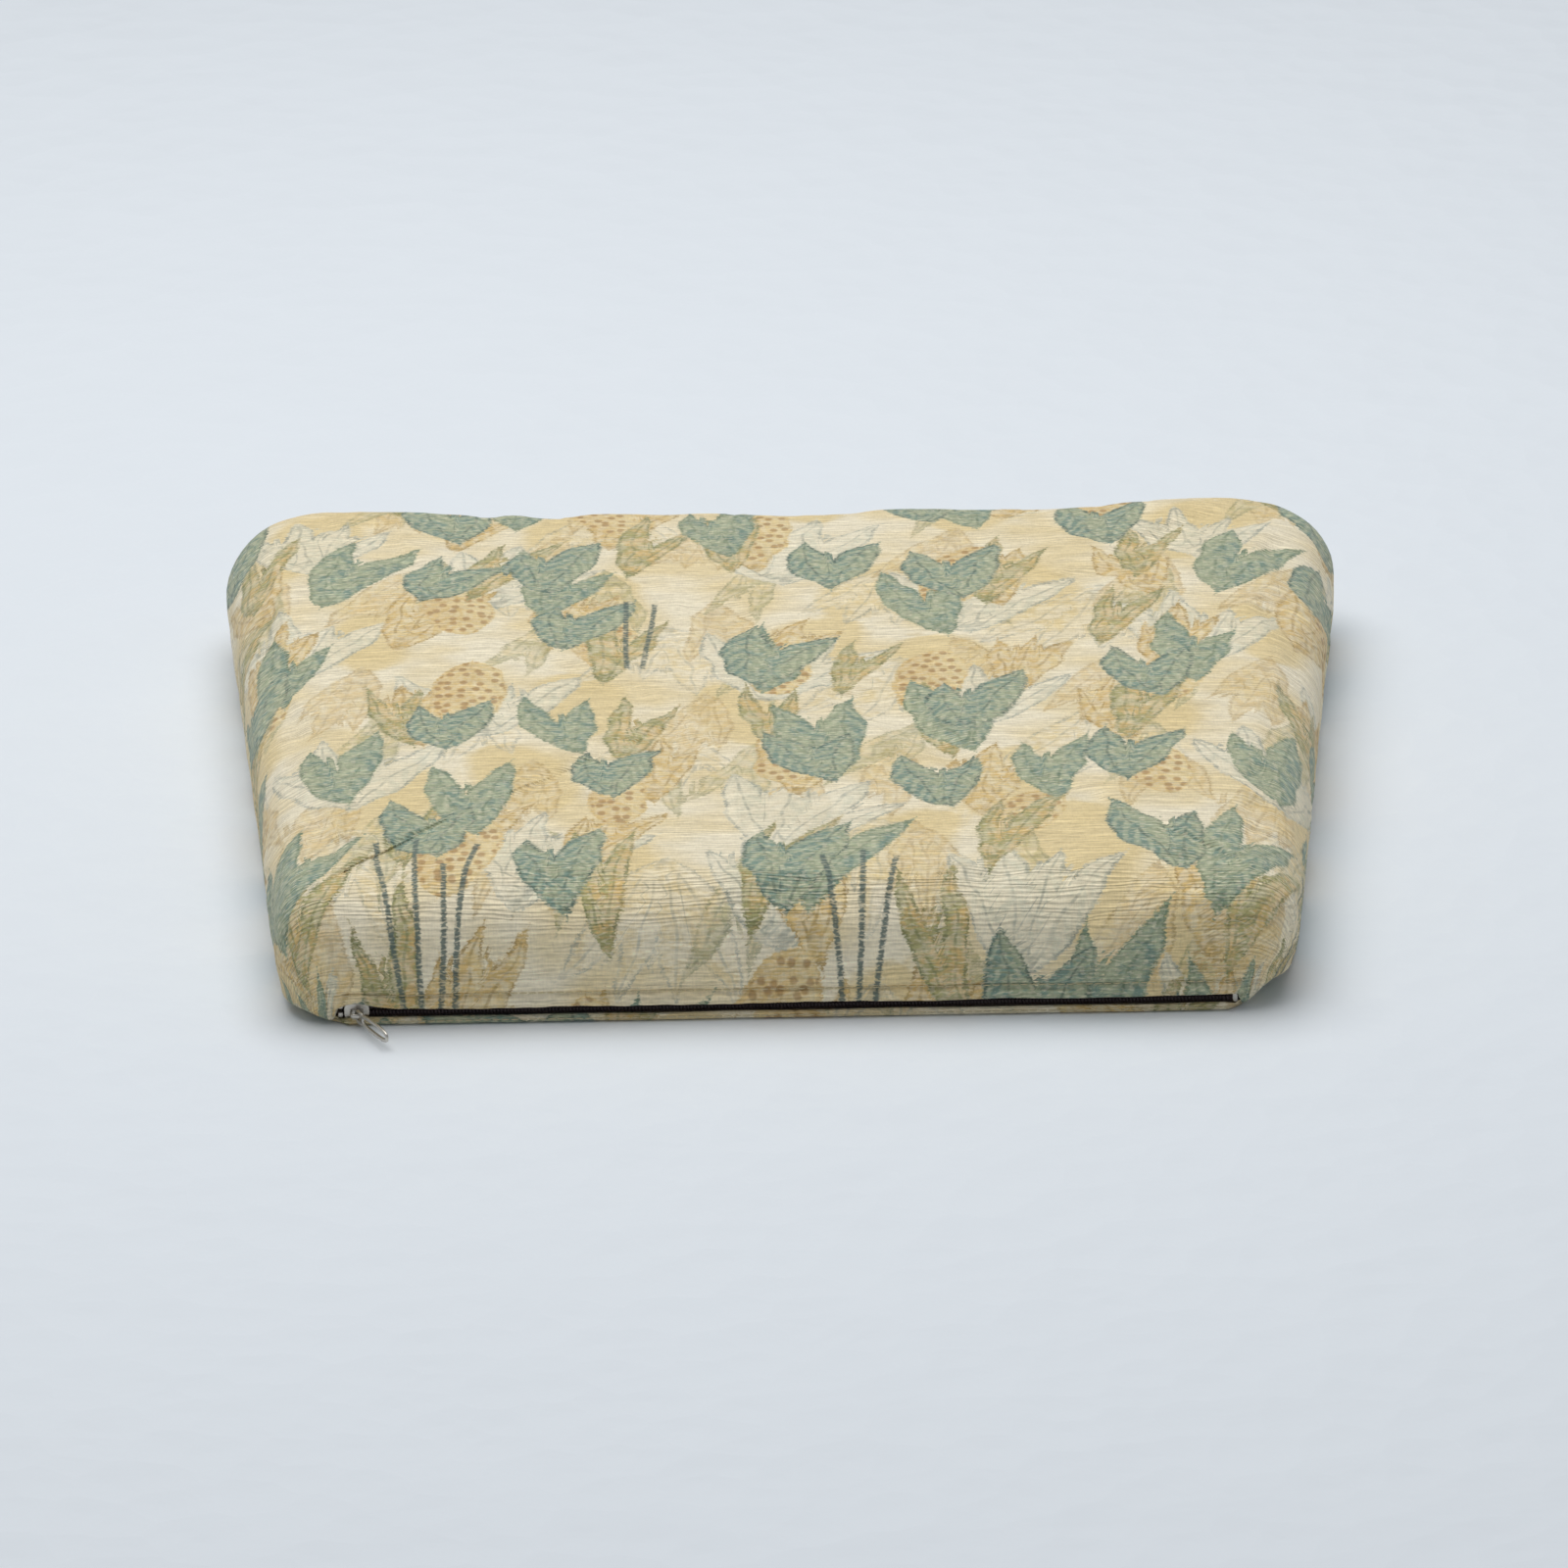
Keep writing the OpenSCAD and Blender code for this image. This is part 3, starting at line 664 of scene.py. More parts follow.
def cover_surface(pad):
    """Points and flat cloth coordinates of the top panel, on a square grid of rings.

    The inner rings are copies of the plan outline shrunk towards the middle, and the outer rings follow the
    side profile down from it. The cloth coordinate goes straight on from the plan point, outwards by the
    length of cloth used. Between the ends of the zip the profile is the hemmed one, and elsewhere the turned
    under one."""
    rings = pad.top_rings + pad.side_rings
    ring, side, along = square_grid(rings)
    point, normal = plan_outline(pad, side.ravel(), along.ravel())
    ring = ring.ravel()
    share = np.minimum(ring / pad.top_rings, 1)[:, None]
    down = np.maximum(ring - pad.top_rings, 0) / pad.side_rings
    down = np.interp(down, [0, 0.24, 0.36, 0.64, 0.83, 1], [0, 0.42, 0.62, 0.797, 0.838, 1])
    edge = point - normal * pad.edge_radius
    spots = []
    for hemmed in (False, True):
        run, inset, height = side_profile(pad, hemmed)
        used = down * run[-1]
        spots.append((used, np.interp(used, run, inset), np.interp(used, run, height)))
    at_zip = (point[:, 1] > cover_high.y - 0.002) * smooth((ZIP_HALF + 0.0045 - np.abs(point[:, 0])) / 0.006)
    used, inset, height = (a * (1 - at_zip) + b * at_zip for a, b in zip(*spots))
    on_top = (ring <= pad.top_rings)[:, None]
    plan = np.where(on_top, edge * share, point - normal * inset[:, None])
    height = np.where(on_top[:, 0], pad.edge_height, height)
    cloth = np.where(on_top, edge * share, edge + normal * used[:, None])
    return plan, height, normal, cloth, at_zip, down, share[:, 0]


def smooth(value):
    """0 to 1 with flat ends, as 3 t squared less 2 t cubed."""
    t = np.clip(value, 0, 1)
    return t * t * (3 - 2 * t)


def curled(pad, points):
    """Points after the bottom of each plan corner has curled up and in, most at the back on the -X side.

    Each corner's share grows smoothly with how far the point stands past its arc's centre in both directions,
    over a longer way along the sides, and with how near the point is to the underside; it moves up by that
    share of the corner's amount, and towards the pad's middle by a fifth of that."""
    x, y, z = points.T
    centre, _, _, _ = corner_arcs(pad)
    lift = np.zeros_like(x)
    for (cx, cy), amount in zip(centre, (0.0025, 0.0025, 0.0035, 0.0085)):
        past_x, past_y = (x - cx) * np.sign(cx), (y - cy) * np.sign(cy)
        lift += amount * smooth((past_x + 0.003) / 0.017) * smooth((past_y + 0.040) / 0.055)
    lift *= smooth((0.028 - z) / 0.028) ** 1.3
    inwards = points[:, :2] / np.maximum(np.hypot(x, y), 1e-6)[:, None]
    return np.column_stack([points[:, :2] - inwards * 0.2 * lift[:, None], z + lift])


def sat_on(x, y):
    """How far the top stands above its even swell: humps on both sides, higher at the front, and a dip between.

    The humps are bell curves of the distance from x = 0, and the dip is one of both x and y."""
    wide = np.abs(x) / 0.22
    humps = 0.0020 * np.exp(-((wide - 0.78) / 0.26) ** 2) - 0.0011 * np.exp(-(wide / 0.5) ** 2)
    front = smooth((0.02 - y) / 0.2)
    dip = -0.0018 * np.exp(-(x / 0.11) ** 2 - ((y - 0.01) / 0.12) ** 2)
    return humps * (0.45 + 0.75 * front) + dip + 0.0006 * ripple(x, y, 0.075, 3)


def shape_cover(pad, plan, height, normal, at_zip, down, share):
    """Moves the plain cover into its stuffed, sat-on shape, and returns its points.

    The top swells from its edges, dips in the middle and towards the front, and is uneven by half a
    millimetre; the sides belly out as a sine of their height; the topstitching draws the flap in; the bottom
    edge curls up at the corners; and the hem's fold waves a little."""
    x, y = plan[:, 0], plan[:, 1]
    level = height / pad.edge_height
    swell = pad.crown * (1 - share ** 4) + sat_on(x, y) + 0.00025 * ripple(x, y, 0.028, 8)
    lift_top = swell * smooth((height - 0.030) / 0.020)
    belly = pad.side_bulge * np.sin(np.pi * np.clip(level, 0, 1)) * (down > 0) * smooth(height / 0.014)
    belly = belly + 0.0005 * ripple(x * 1.0 + y, height, 0.045, 21) * (down > 0) * smooth(height / 0.02)
    stitched = at_zip * (down > 0) * 0.0016 * np.exp(-((height - STITCH_Z) / 0.0011) ** 2)
    flare = at_zip * 0.0009 * np.exp(-((height - FLAP_Z - 0.0028) / 0.0022) ** 2) * (down > 0)
    past_zip = np.exp(-((np.abs(x) - 0.168) / 0.008) ** 2) * (y > 0.18) * smooth((0.014 - height) / 0.006)
    out = belly - stitched + flare - 0.0008 * past_zip * (down > 0)
    wave = at_zip * (0.00035 * ripple(x, 0 * x, 0.05, 5) + 0.00015 * ripple(x, 0 * x, 0.014, 6))
    at_slider = np.exp(-((x - (slider_low.x + slider_high.x) / 2) / 0.009) ** 2)
    wave = wave + at_zip * (0.0021 * at_slider - 0.0003)
    fold = smooth((0.016 - height) / 0.009) * (down > 0)
    spot = plan + normal * out[:, None]
    return curled(pad, np.column_stack([spot, height + lift_top + wave * fold]))


def puff_cloth(piece, still, cap, frames=18):
    """Blows the cloth up from inside with the hems held, and keeps each point within cap of where it began.

    A point that sinks goes back to the filling, 0.2 mm below where it began."""
    mesh = piece.data
    count = len(mesh.vertices)
    start = np.empty(count * 3, np.float32)
    mesh.vertices.foreach_get("co", start)
    group = piece.vertex_groups.new(name="held")
    for weight in np.unique(still):
        group.add(np.flatnonzero(still == weight).tolist(), float(weight), "REPLACE")
    cloth = piece.modifiers.new("puff", "CLOTH")
    cloth.settings.quality = 4
    cloth.settings.mass = 0.45
    cloth.settings.tension_stiffness = 30
    cloth.settings.compression_stiffness = 30
    cloth.settings.shear_stiffness = 12
    cloth.settings.bending_stiffness = 1.2
    cloth.settings.shrink_min = -0.012
    cloth.settings.use_pressure = True
    cloth.settings.uniform_pressure_force = 4
    cloth.settings.vertex_group_mass = "held"
    cloth.settings.effector_weights.gravity = 0
    cloth.collision_settings.use_collision = False
    cloth.collision_settings.use_self_collision = False
    cloth.point_cache.frame_start, cloth.point_cache.frame_end = 1, frames
    for number in range(1, frames + 1):
        bpy.context.scene.frame_set(number)
    seen = piece.evaluated_get(bpy.context.evaluated_depsgraph_get())
    moved = np.empty(count * 3, np.float32)
    seen.data.vertices.foreach_get("co", moved)
    piece.modifiers.remove(cloth)
    piece.vertex_groups.remove(group)
    bpy.context.scene.frame_set(1)
    step = (moved - start).reshape(-1, 3)
    facing = np.empty(count * 3, np.float32)
    mesh.vertices.foreach_get("normal", facing)
    facing = facing.reshape(-1, 3)
    outwards = (step * facing).sum(1, keepdims=True)
    step += facing * (np.maximum(outwards, -0.0002) - outwards)
    size = np.linalg.norm(step, axis=1, keepdims=True)
    step *= np.minimum(1, cap / np.maximum(size, 1e-9))
    mesh.vertices.foreach_set("co", (start.reshape(-1, 3) + step).astype(np.float32).ravel())
    mesh.update()


def thicken(piece, thickness):
    """Gives a sheet its thickness inwards from its outer face."""
    solid = piece.modifiers.new("thickness", "SOLIDIFY")
    solid.thickness = thickness
    solid.offset = -1
    solid.use_even_offset = False


class SEATPAD_OT_cover(bpy.types.Operator):
    """Sew the top panel of the cover, with its sides and the hem above the zip"""

    bl_idname = "seatpad.cover"
    bl_label = "Tapestry cover"

    def execute(self, context):
        pad = context.scene.seatpad_sizes
        colours = context.scene.seatpad_colours
        plan, height, normal, cloth, at_zip, down, share = cover_surface(pad)
        points = shape_cover(pad, plan, height, normal, at_zip, down, share)
        size = 2 * (pad.top_rings + pad.side_rings) + 1
        material = material_of("cotton_tapestry", lambda: tapestry_material(colours))
        piece = make_piece("tapestry_cover", points, grid_quads(size, size, False), material, "pad",
                           ["cover_top"])
        weave_pattern(piece.data, -cloth)
        still = np.round(smooth((down - 0.5) / 0.25) * 8) / 8
        puff_cloth(piece, still, 0.003)
        thicken(piece, pad.cloth)
        return {"FINISHED"}


class SEATPAD_OT_underside(bpy.types.Operator):
    """Sew the flat bottom panel, whose back edge turns up into the lower hem"""

    bl_idname = "seatpad.underside"
    bl_label = "Bottom panel"

    def execute(self, context):
        pad = context.scene.seatpad_sizes
        colours = context.scene.seatpad_colours
        rings = 70
        ring, side, along = square_grid(rings)
        point, normal = plan_outline(pad, side.ravel(), along.ravel())
        at_zip = (point[:, 1] > cover_high.y - 0.002) * smooth((ZIP_HALF + 0.0035 - np.abs(point[:, 0])) / 0.006)
        hem_rings = 8
        flat_share = np.minimum(ring.ravel() / (rings - hem_rings), 1)[:, None]
        turn = np.maximum(ring.ravel() - (rings - hem_rings), 0) / hem_rings
        edge = point - normal * (pad.under_radius + 0.0003)
        rise = LOWER_HEM_Z
        path = np.array([[0, 0], [0.0005, 0.00012], [0.0008, 0.0006], [0.0009, rise * 0.6], [0.0007, rise - 0.0004],
                         [-0.0002, rise], [-0.0011, rise - 0.0005], [-0.0012, 0.0012]])
        place = turn * (len(path) - 1)
        out_hem = np.interp(place, np.arange(len(path)), path[:, 0])
        up_hem = np.interp(place, np.arange(len(path)), path[:, 1])
        grow = (pad.under_radius + 0.0003 - 0.0009) * smooth(turn * 4)
        out = at_zip * (out_hem + grow)
        tuck = (1 - at_zip) * turn
        plan = edge * flat_share + normal * (out + tuck * 0.0004)[:, None]
        x = plan[:, 0]
        wave = 0.0003 * ripple(x, 0 * x, 0.04, 15) * at_zip * turn
        points = curled(pad, np.column_stack([plan, at_zip * up_hem + smooth(tuck) * 0.0014 + wave]))
        size = 2 * rings + 1
        material = material_of("cotton_tapestry", lambda: tapestry_material(colours))
        quads = grid_quads(size, size, False)[:, ::-1]
        piece = make_piece("underside_panel", points, quads, material, "pad", ["cover_bottom"])
        cloth = edge * flat_share + normal * (turn * 0.012)[:, None]
        weave_pattern(piece.data, np.column_stack([cloth[:, 0], cloth[:, 1] + 0.09]))
        thicken(piece, pad.cloth)
        return {"FINISHED"}


# ---------------------------------------------------------------- filling

# The filling is this much smaller in plan than the room for it, so the cover can sink a little at its edges.
FILLING_EASE = 0.996


def block(pad, rows, short, columns=160):
    """A closed soft block: rows of (inset, height, share) from pole to pole, carried round the plan outline."""
    point, normal = outline_loop(pad, columns, short)
    rows = np.asarray(rows)
    plan = (point[None] - normal[None] * rows[:, 0, None, None]) * rows[:, 2, None, None]
    z = np.repeat(rows[:, 1], columns).reshape(len(rows), columns, 1)
    body = np.concatenate([plan, z], axis=-1).reshape(-1, 3)
    poles = [[0, 0, rows[0, 1]], [0, 0, rows[-1, 1]]]
    quads = grid_quads(len(rows), columns, True).tolist()
    step = np.arange(columns)
    after = (step + 1) % columns
    last = (len(rows) - 1) * columns
    first_fan = np.stack([np.full(columns, len(body)), after, step], -1).tolist()
    last_fan = np.stack([np.full(columns, len(body) + 1), last + step, last + after], -1).tolist()
    return np.vstack([body, poles]), quads + first_fan + last_fan


def spokes(inset, z, shares):
    """Rows across a flat face, from one share of the outline to another."""
    return [(inset, z, s) for s in shares]


def rounded_edge(inset, z, radius, start, stop, steps=6):
    """Rows round an edge whose arc is centred at that inset and height, between two angles in degrees."""
    angles = np.radians(np.linspace(start, stop, steps))
    return [(inset - radius * math.cos(a), z + radius * math.sin(a), 1.0) for a in angles]


class SEATPAD_OT_filling(bpy.types.Operator):
    """Lay in the foam slab, the wadding and the calico liner"""

    bl_idname = "seatpad.filling"
    bl_label = "Filling"

    def execute(self, context):
        pad = context.scene.seatpad_sizes
        colours = context.scene.seatpad_colours
        grow = np.linspace(0.08, 0.98, 12)
        shrink = grow[::-1]
        # Open-celled polyurethane: a fine, matt, yellowish sponge
        foam_finish = grain_material("polyurethane_foam", colours.foam, 0.0011, 0.3, Roughness=0.95)
        # Bonded polyester fibre: white, hazy and a little fluffy at its edges
        felt = grain_material("polyester_wadding", colours.wadding, 0.004, 0.12, Roughness=0.95, Sheen_Weight=0.4)
        # Unbleached cotton calico: matt and cream, its plain weave fine enough to read as smooth
        calico = cloth_material("unbleached_calico", colours.calico, 0.0006)

        def filler(name, rows, low, high, material, node):
            inset = low.y - cover_low.y
            short = cover_high.y - high.y - inset
            points, faces = block(pad, rows(inset), short)
            x, y, z = points.T
            points[:, 2] += (np.minimum(sat_on(x, y), 0.0015) - 0.0010) * smooth((z - 0.012) / 0.03)
            points[:, :2] *= FILLING_EASE
            points = curled(pad, points)
            piece = make_piece(name, points, faces, material, "pad", [node])
            face_outwards(piece.data)
            return piece

        soft = 0.003
        nose = 0.002

        def foam_rows(d):
            """A slab whose top edge is twice as round as its bottom edge."""
            lower = spokes(d, foam_low.z, grow) + rounded_edge(d + soft, foam_low.z + soft, soft, -90, 0)
            upper = rounded_edge(d + 2 * soft, foam_high.z - 2 * soft, 2 * soft, 0, 90)
            return lower + upper + spokes(d + 2 * soft, foam_high.z, shrink)

        filler("foam_slab", foam_rows, foam_low, foam_high, foam_finish, "foam_core")

        def felt_rows(d):
            """A sheet with a rounded edge."""
            lower = spokes(d, felt_low.z, grow) + rounded_edge(d + nose, felt_low.z + nose, nose, -90, 0)
            upper = rounded_edge(d + nose, felt_high.z - nose, nose, 0, 90)
            return lower + upper + spokes(d, felt_high.z, shrink)

        filler("wadding_layer_bottom", felt_rows, felt_low, felt_high, felt, "wadding_bottom")
        room = foam_low.y - pad_low.y - 0.0003
        roof = foam_high.z + 0.0003
        edge = pad.edge_radius - 0.003
        top = pad_high.z - 0.004

        def wadding_rows(d):
            """Inside from its middle out and down, round the rim, and back up and over the outside."""
            inside = [(d + room + 2 * soft, roof, s) for s in grow]
            inside += rounded_edge(d + room + 2 * soft, roof - 2 * soft, 2 * soft, 90, 0)
            rim = [(d + room, pad_low.z + 0.001, 1), (d + room * 0.75, pad_low.z + 0.0003, 1),
                   (d + room * 0.25, pad_low.z + 0.0003, 1), (d, pad_low.z + 0.001, 1)]
            outside = rounded_edge(d + edge, top - edge, edge, 0, 90, 8)
            crown = [(d + edge, top + 0.0038 * (1 - s ** 4), s) for s in shrink]
            return inside + rim + outside + crown

        filler("wadding_layer_top", wadding_rows, pad_low, pad_high, felt, "wadding_top")

        skin = pad.liner

        def liner_rows(d):
            """The liner's top is a thin cup: inside, rim, outside."""
            arc = edge + 0.001
            peak = case_high.z - 0.004
            inside = [(d + arc, peak - skin + 0.0038 * (1 - s ** 4), s) for s in grow]
            inside += rounded_edge(d + arc, peak - arc, arc - skin, 90, 0, 8)
            rim = [(d + skin, case_low.z + 0.0001, 1), (d, case_low.z + 0.0001, 1)]
            outside = rounded_edge(d + arc, peak - arc, arc, 0, 90, 8)
            crown = [(d + arc, peak + 0.0038 * (1 - s ** 4), s) for s in shrink]
            return inside + rim + outside + crown

        filler("liner_case_top", liner_rows, case_low, case_high, calico, "liner_top")
        def sheet_rows(d):
            """The liner's bottom is a flat sheet with a square edge."""
            edge_rows = [(d, liner_low.z, 1), (d, liner_high.z, 1)]
            return spokes(d, liner_low.z, grow) + edge_rows + spokes(d, liner_high.z, shrink)

        filler("liner_case_bottom", sheet_rows, liner_low, liner_high, calico, "liner_bottom")
        return {"FINISHED"}


# ---------------------------------------------------------------- zip and thread


def swept(path, across, up, width, depth, sides=6, closed=False):
    """A tube along a path: an ellipse of that width and depth in the plane of across and up at each point."""
    turn = np.arange(sides) / sides * 2 * np.pi
    ring = (np.cos(turn)[None, :, None] * across[:, None] * width / 2
            + np.sin(turn)[None, :, None] * up[:, None] * depth / 2)
    points = path[:, None] + ring
    count = len(path)
    quads = grid_quads(count, sides, True).tolist()
    if closed:
        step = np.arange(sides)
        after = (step + 1) % sides
        last = (count - 1) * sides
        quads += np.stack([last + step, last + after, after, step], -1).tolist()
    else:
        quads += [list(range(sides))[::-1], [(count - 1) * sides + k for k in range(sides)]]
    return points.reshape(-1, 3), quads


def frames_along(path, reference):
    """Two directions across a path at each point: one nearest to the reference, and the one square to both."""
    way = np.gradient(path, axis=0)
    way /= np.linalg.norm(way, axis=1, keepdims=True)
    across = reference - way * (way @ reference)[:, None]
    across /= np.linalg.norm(across, axis=1, keepdims=True)
    return across, np.cross(way, across)


def coil_turns(pad, zipper, upper):
    """A nylon coil: a helix along the zip, an oval whose inner side reaches the zip's middle line.

    x grows with the turn, y goes as its cosine and z as its sine; the two coils are half a turn apart."""
    low, high = (upper_low, upper_high) if upper else (lower_low, lower_high)
    sign = 1 if upper else -1
    turns = (high.x - low.x - 0.002) / zipper.pitch
    angle = np.arange(0, turns * 8) / 8 * 2 * np.pi + (0 if upper else np.pi)
    x = low.x + 0.001 + zipper.pitch * (angle - angle[0]) / (2 * np.pi)
    reach = (high.z - low.z) / 2 + abs((low.z if upper else high.z) - ZIP_Z) / 2
    middle = (high.z if upper else low.z) - sign * reach
    path = np.column_stack([x, (low.y + high.y) / 2 + np.cos(angle) * ((high.y - low.y) - zipper.wire) / 2,
                            middle + np.sin(angle) * (reach - zipper.wire / 2)])
    across, up = frames_along(path, np.array([1.0, 0.0, 0.0]))
    return swept(path, across, up, zipper.wire, zipper.wire, 5)


def stitch_row(starts, ends, thickness, out, arch=0.5, sides=6, steps=5):
    """Separate stitches, each a short arched tube from its start to its end, thin where it enters the cloth."""
    t = np.linspace(0, 1, steps)
    lift = np.sin(np.pi * t)
    line = starts[:, None] + (ends - starts)[:, None] * t[None, :, None]
    line = line + out[:, None] * (lift * thickness * arch)[None, :, None]
    way = (ends - starts) / np.linalg.norm(ends - starts, axis=1, keepdims=True)
    across = np.cross(way, out)
    turn = np.arange(sides) / sides * 2 * np.pi
    girth = thickness / 2 * (0.55 + 0.45 * lift)
    ring = (np.cos(turn)[None, None, :, None] * across[:, None, None]
            + np.sin(turn)[None, None, :, None] * out[:, None, None]) * girth[None, :, None, None]
    points = line[:, :, None] + ring
    count = len(starts)
    one = grid_quads(steps, sides, True)
    faces = (one[None] + (np.arange(count) * steps * sides)[:, None, None]).reshape(-1, 4).tolist()
    caps = np.array([list(range(sides))[::-1], [(steps - 1) * sides + k for k in range(sides)]])
    faces += (caps[None] + (np.arange(count) * steps * sides)[:, None, None]).reshape(-1, sides).tolist()
    return points.reshape(-1, 3), faces


def slab(outline, low, high, bevel):
    """A plate: a closed outline in (x, z) between two y values, its edges rounded by the bevel."""
    centre = outline.mean(0)
    size = np.linalg.norm(outline - centre, axis=1, keepdims=True)
    rows = []
    for a in np.radians([90, 60, 30, 0]):
        rows.append((bevel * (1 - math.cos(a)), low + bevel * (1 - math.sin(a))))
    for a in np.radians([0, 30, 60, 90]):
        rows.append((bevel * (1 - math.cos(a)), high - bevel * (1 - math.sin(a))))
    count = len(outline)
    points = []
    for inset, y in rows:
        ring = centre + (outline - centre) * (1 - inset / size)
        points.append(np.column_stack([ring[:, 0], np.full(count, y), ring[:, 1]]))
    faces = grid_quads(len(rows), count, True).tolist()
    faces += [list(range(count)), [(len(rows) - 1) * count + k for k in range(count)][::-1]]
    return np.vstack(points), faces


def joined(parts):
    """Several meshes as one list of points and one of faces."""
    points, faces, offset = [], [], 0
    for p, f in parts:
        points.append(p)
        faces += [[int(k) + offset for k in face] for face in f]
        offset += len(p)
    return np.vstack(points), faces


def superellipse(width, height, power, steps=32, centre=(0.0, 0.0)):
    """A rounded rectangle: cosine and sine, each to the power 2 / power, keeping its sign."""
    t = np.arange(steps) / steps * 2 * np.pi
    c, s = np.cos(t), np.sin(t)
    return np.column_stack([centre[0] + width / 2 * np.sign(c) * np.abs(c) ** (2 / power),
                            centre[1] + height / 2 * np.sign(s) * np.abs(s) ** (2 / power)])


class SEATPAD_OT_zip(bpy.types.Operator):
    """Weave the tapes, wind the coils and clamp on the stops"""

    bl_idname = "seatpad.zip"
    bl_label = "Zip"

    def execute(self, context):
        pad = context.scene.seatpad_sizes
        zipper = context.scene.seatpad_zip
        colours = context.scene.seatpad_colours
        # Woven polyester tape: dark, matt and finely ribbed
        tape = cloth_material("woven_polyester_tape", colours.tape, 0.0007, 0.75)
        # Nylon monofilament: dark and smooth, with a low plastic gleam along each turn
        nylon = grain_material("nylon_monofilament", colours.coil, 0.0008, 0.2, Roughness=0.42)
        self.tapes(pad, zipper, tape)
        for upper in (True, False):
            name = "upper" if upper else "lower"
            points, faces = coil_turns(pad, zipper, upper)
            piece = make_piece("nylon_coil_" + name, points, faces, nylon, "pad", ["zip_coil_" + name])
            face_outwards(piece.data)
        self.stops(colours)
        return {"FINISHED"}

    def tapes(self, pad, zipper, material):
        """Each tape is its cross-section, a ribbed strip that bends past the slider, carried along the zip.

        Past the ends of the zip it turns in towards the filling."""
        for name in ("upper", "lower"):
            low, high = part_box("zip_tape_" + name)
            half = zipper.tape / 2
            if name == "upper":
                face = upper_low.y - 0.00005 - half
                lie = high.y - half
                bend = slider_high.z + 0.0003
                spine = [[face, low.z + half], [face, bend], [lie, bend + 0.0026], [lie, high.z - half]]
            else:
                face = high.y - half
                spine = [[face, high.z - half], [face, low.z + 0.0009], [face - 0.0004, low.z + half],
                         [low.y + half, low.z + half]]
            spine = np.array(spine)
            run = np.concatenate([[0], np.cumsum(np.linalg.norm(np.diff(spine, axis=0), axis=1))])
            fine = np.linspace(0, run[-1], 22)
            y, z = np.interp(fine, run, spine[:, 0]), np.interp(fine, run, spine[:, 1])
            way = np.gradient(np.column_stack([y, z]), axis=0)
            way /= np.linalg.norm(way, axis=1, keepdims=True)
            side = np.column_stack([-way[:, 1], way[:, 0]])
            ribbed = half * (0.86 + 0.14 * np.cos(np.arange(22) * np.pi))[:, None]
            middle_line = np.column_stack([y, z])
            loop = np.vstack([middle_line + side * ribbed, (middle_line - side * ribbed)[::-1]])
            x = np.linspace(low.x, high.x, 170)
            points = np.empty((len(x), len(loop), 3))
            points[..., 0] = x[:, None]
            points[..., 1:] = loop[None]
            points[..., 1] -= (0.0035 * smooth((np.abs(x) - ZIP_HALF) / 0.007))[:, None]
            faces = grid_quads(len(x), len(loop), True).tolist()
            ends = (0, (len(x) - 1) * len(loop))
            for end in ends:
                faces += [[end + k, end + k + 1, end + 42 - k, end + 43 - k] for k in range(21)]
            points = curled(pad, points.reshape(-1, 3))
            piece = make_piece("woven_tape_" + name, points, faces, material, "pad",
                               ["zip_tape_" + name])
            face_outwards(piece.data)

    def stops(self, colours):
        """Bent metal staples: rounded blocks over the coil's ends."""
        metal = nickel(colours)
        for node, name in (("zip_top_stops", "top_stops_pair"), ("zip_bottom_stop", "bottom_stop_staple")):
            low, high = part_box(node)
            middle = (low.x + high.x) / 2
            if node == "zip_top_stops":
                spans = [(lower_low.z, lower_high.z), (upper_low.z, upper_high.z)]
            else:
                spans = [(low.z, high.z)]
            parts = [slab(superellipse(high.x - low.x, top - base, 5, 24, (middle, (base + top) / 2)), low.y, high.y,
                          0.0003) for base, top in spans]
            points, faces = joined(parts)
            piece = make_piece(name, points, faces, metal, "pad", [node])
            face_outwards(piece.data)


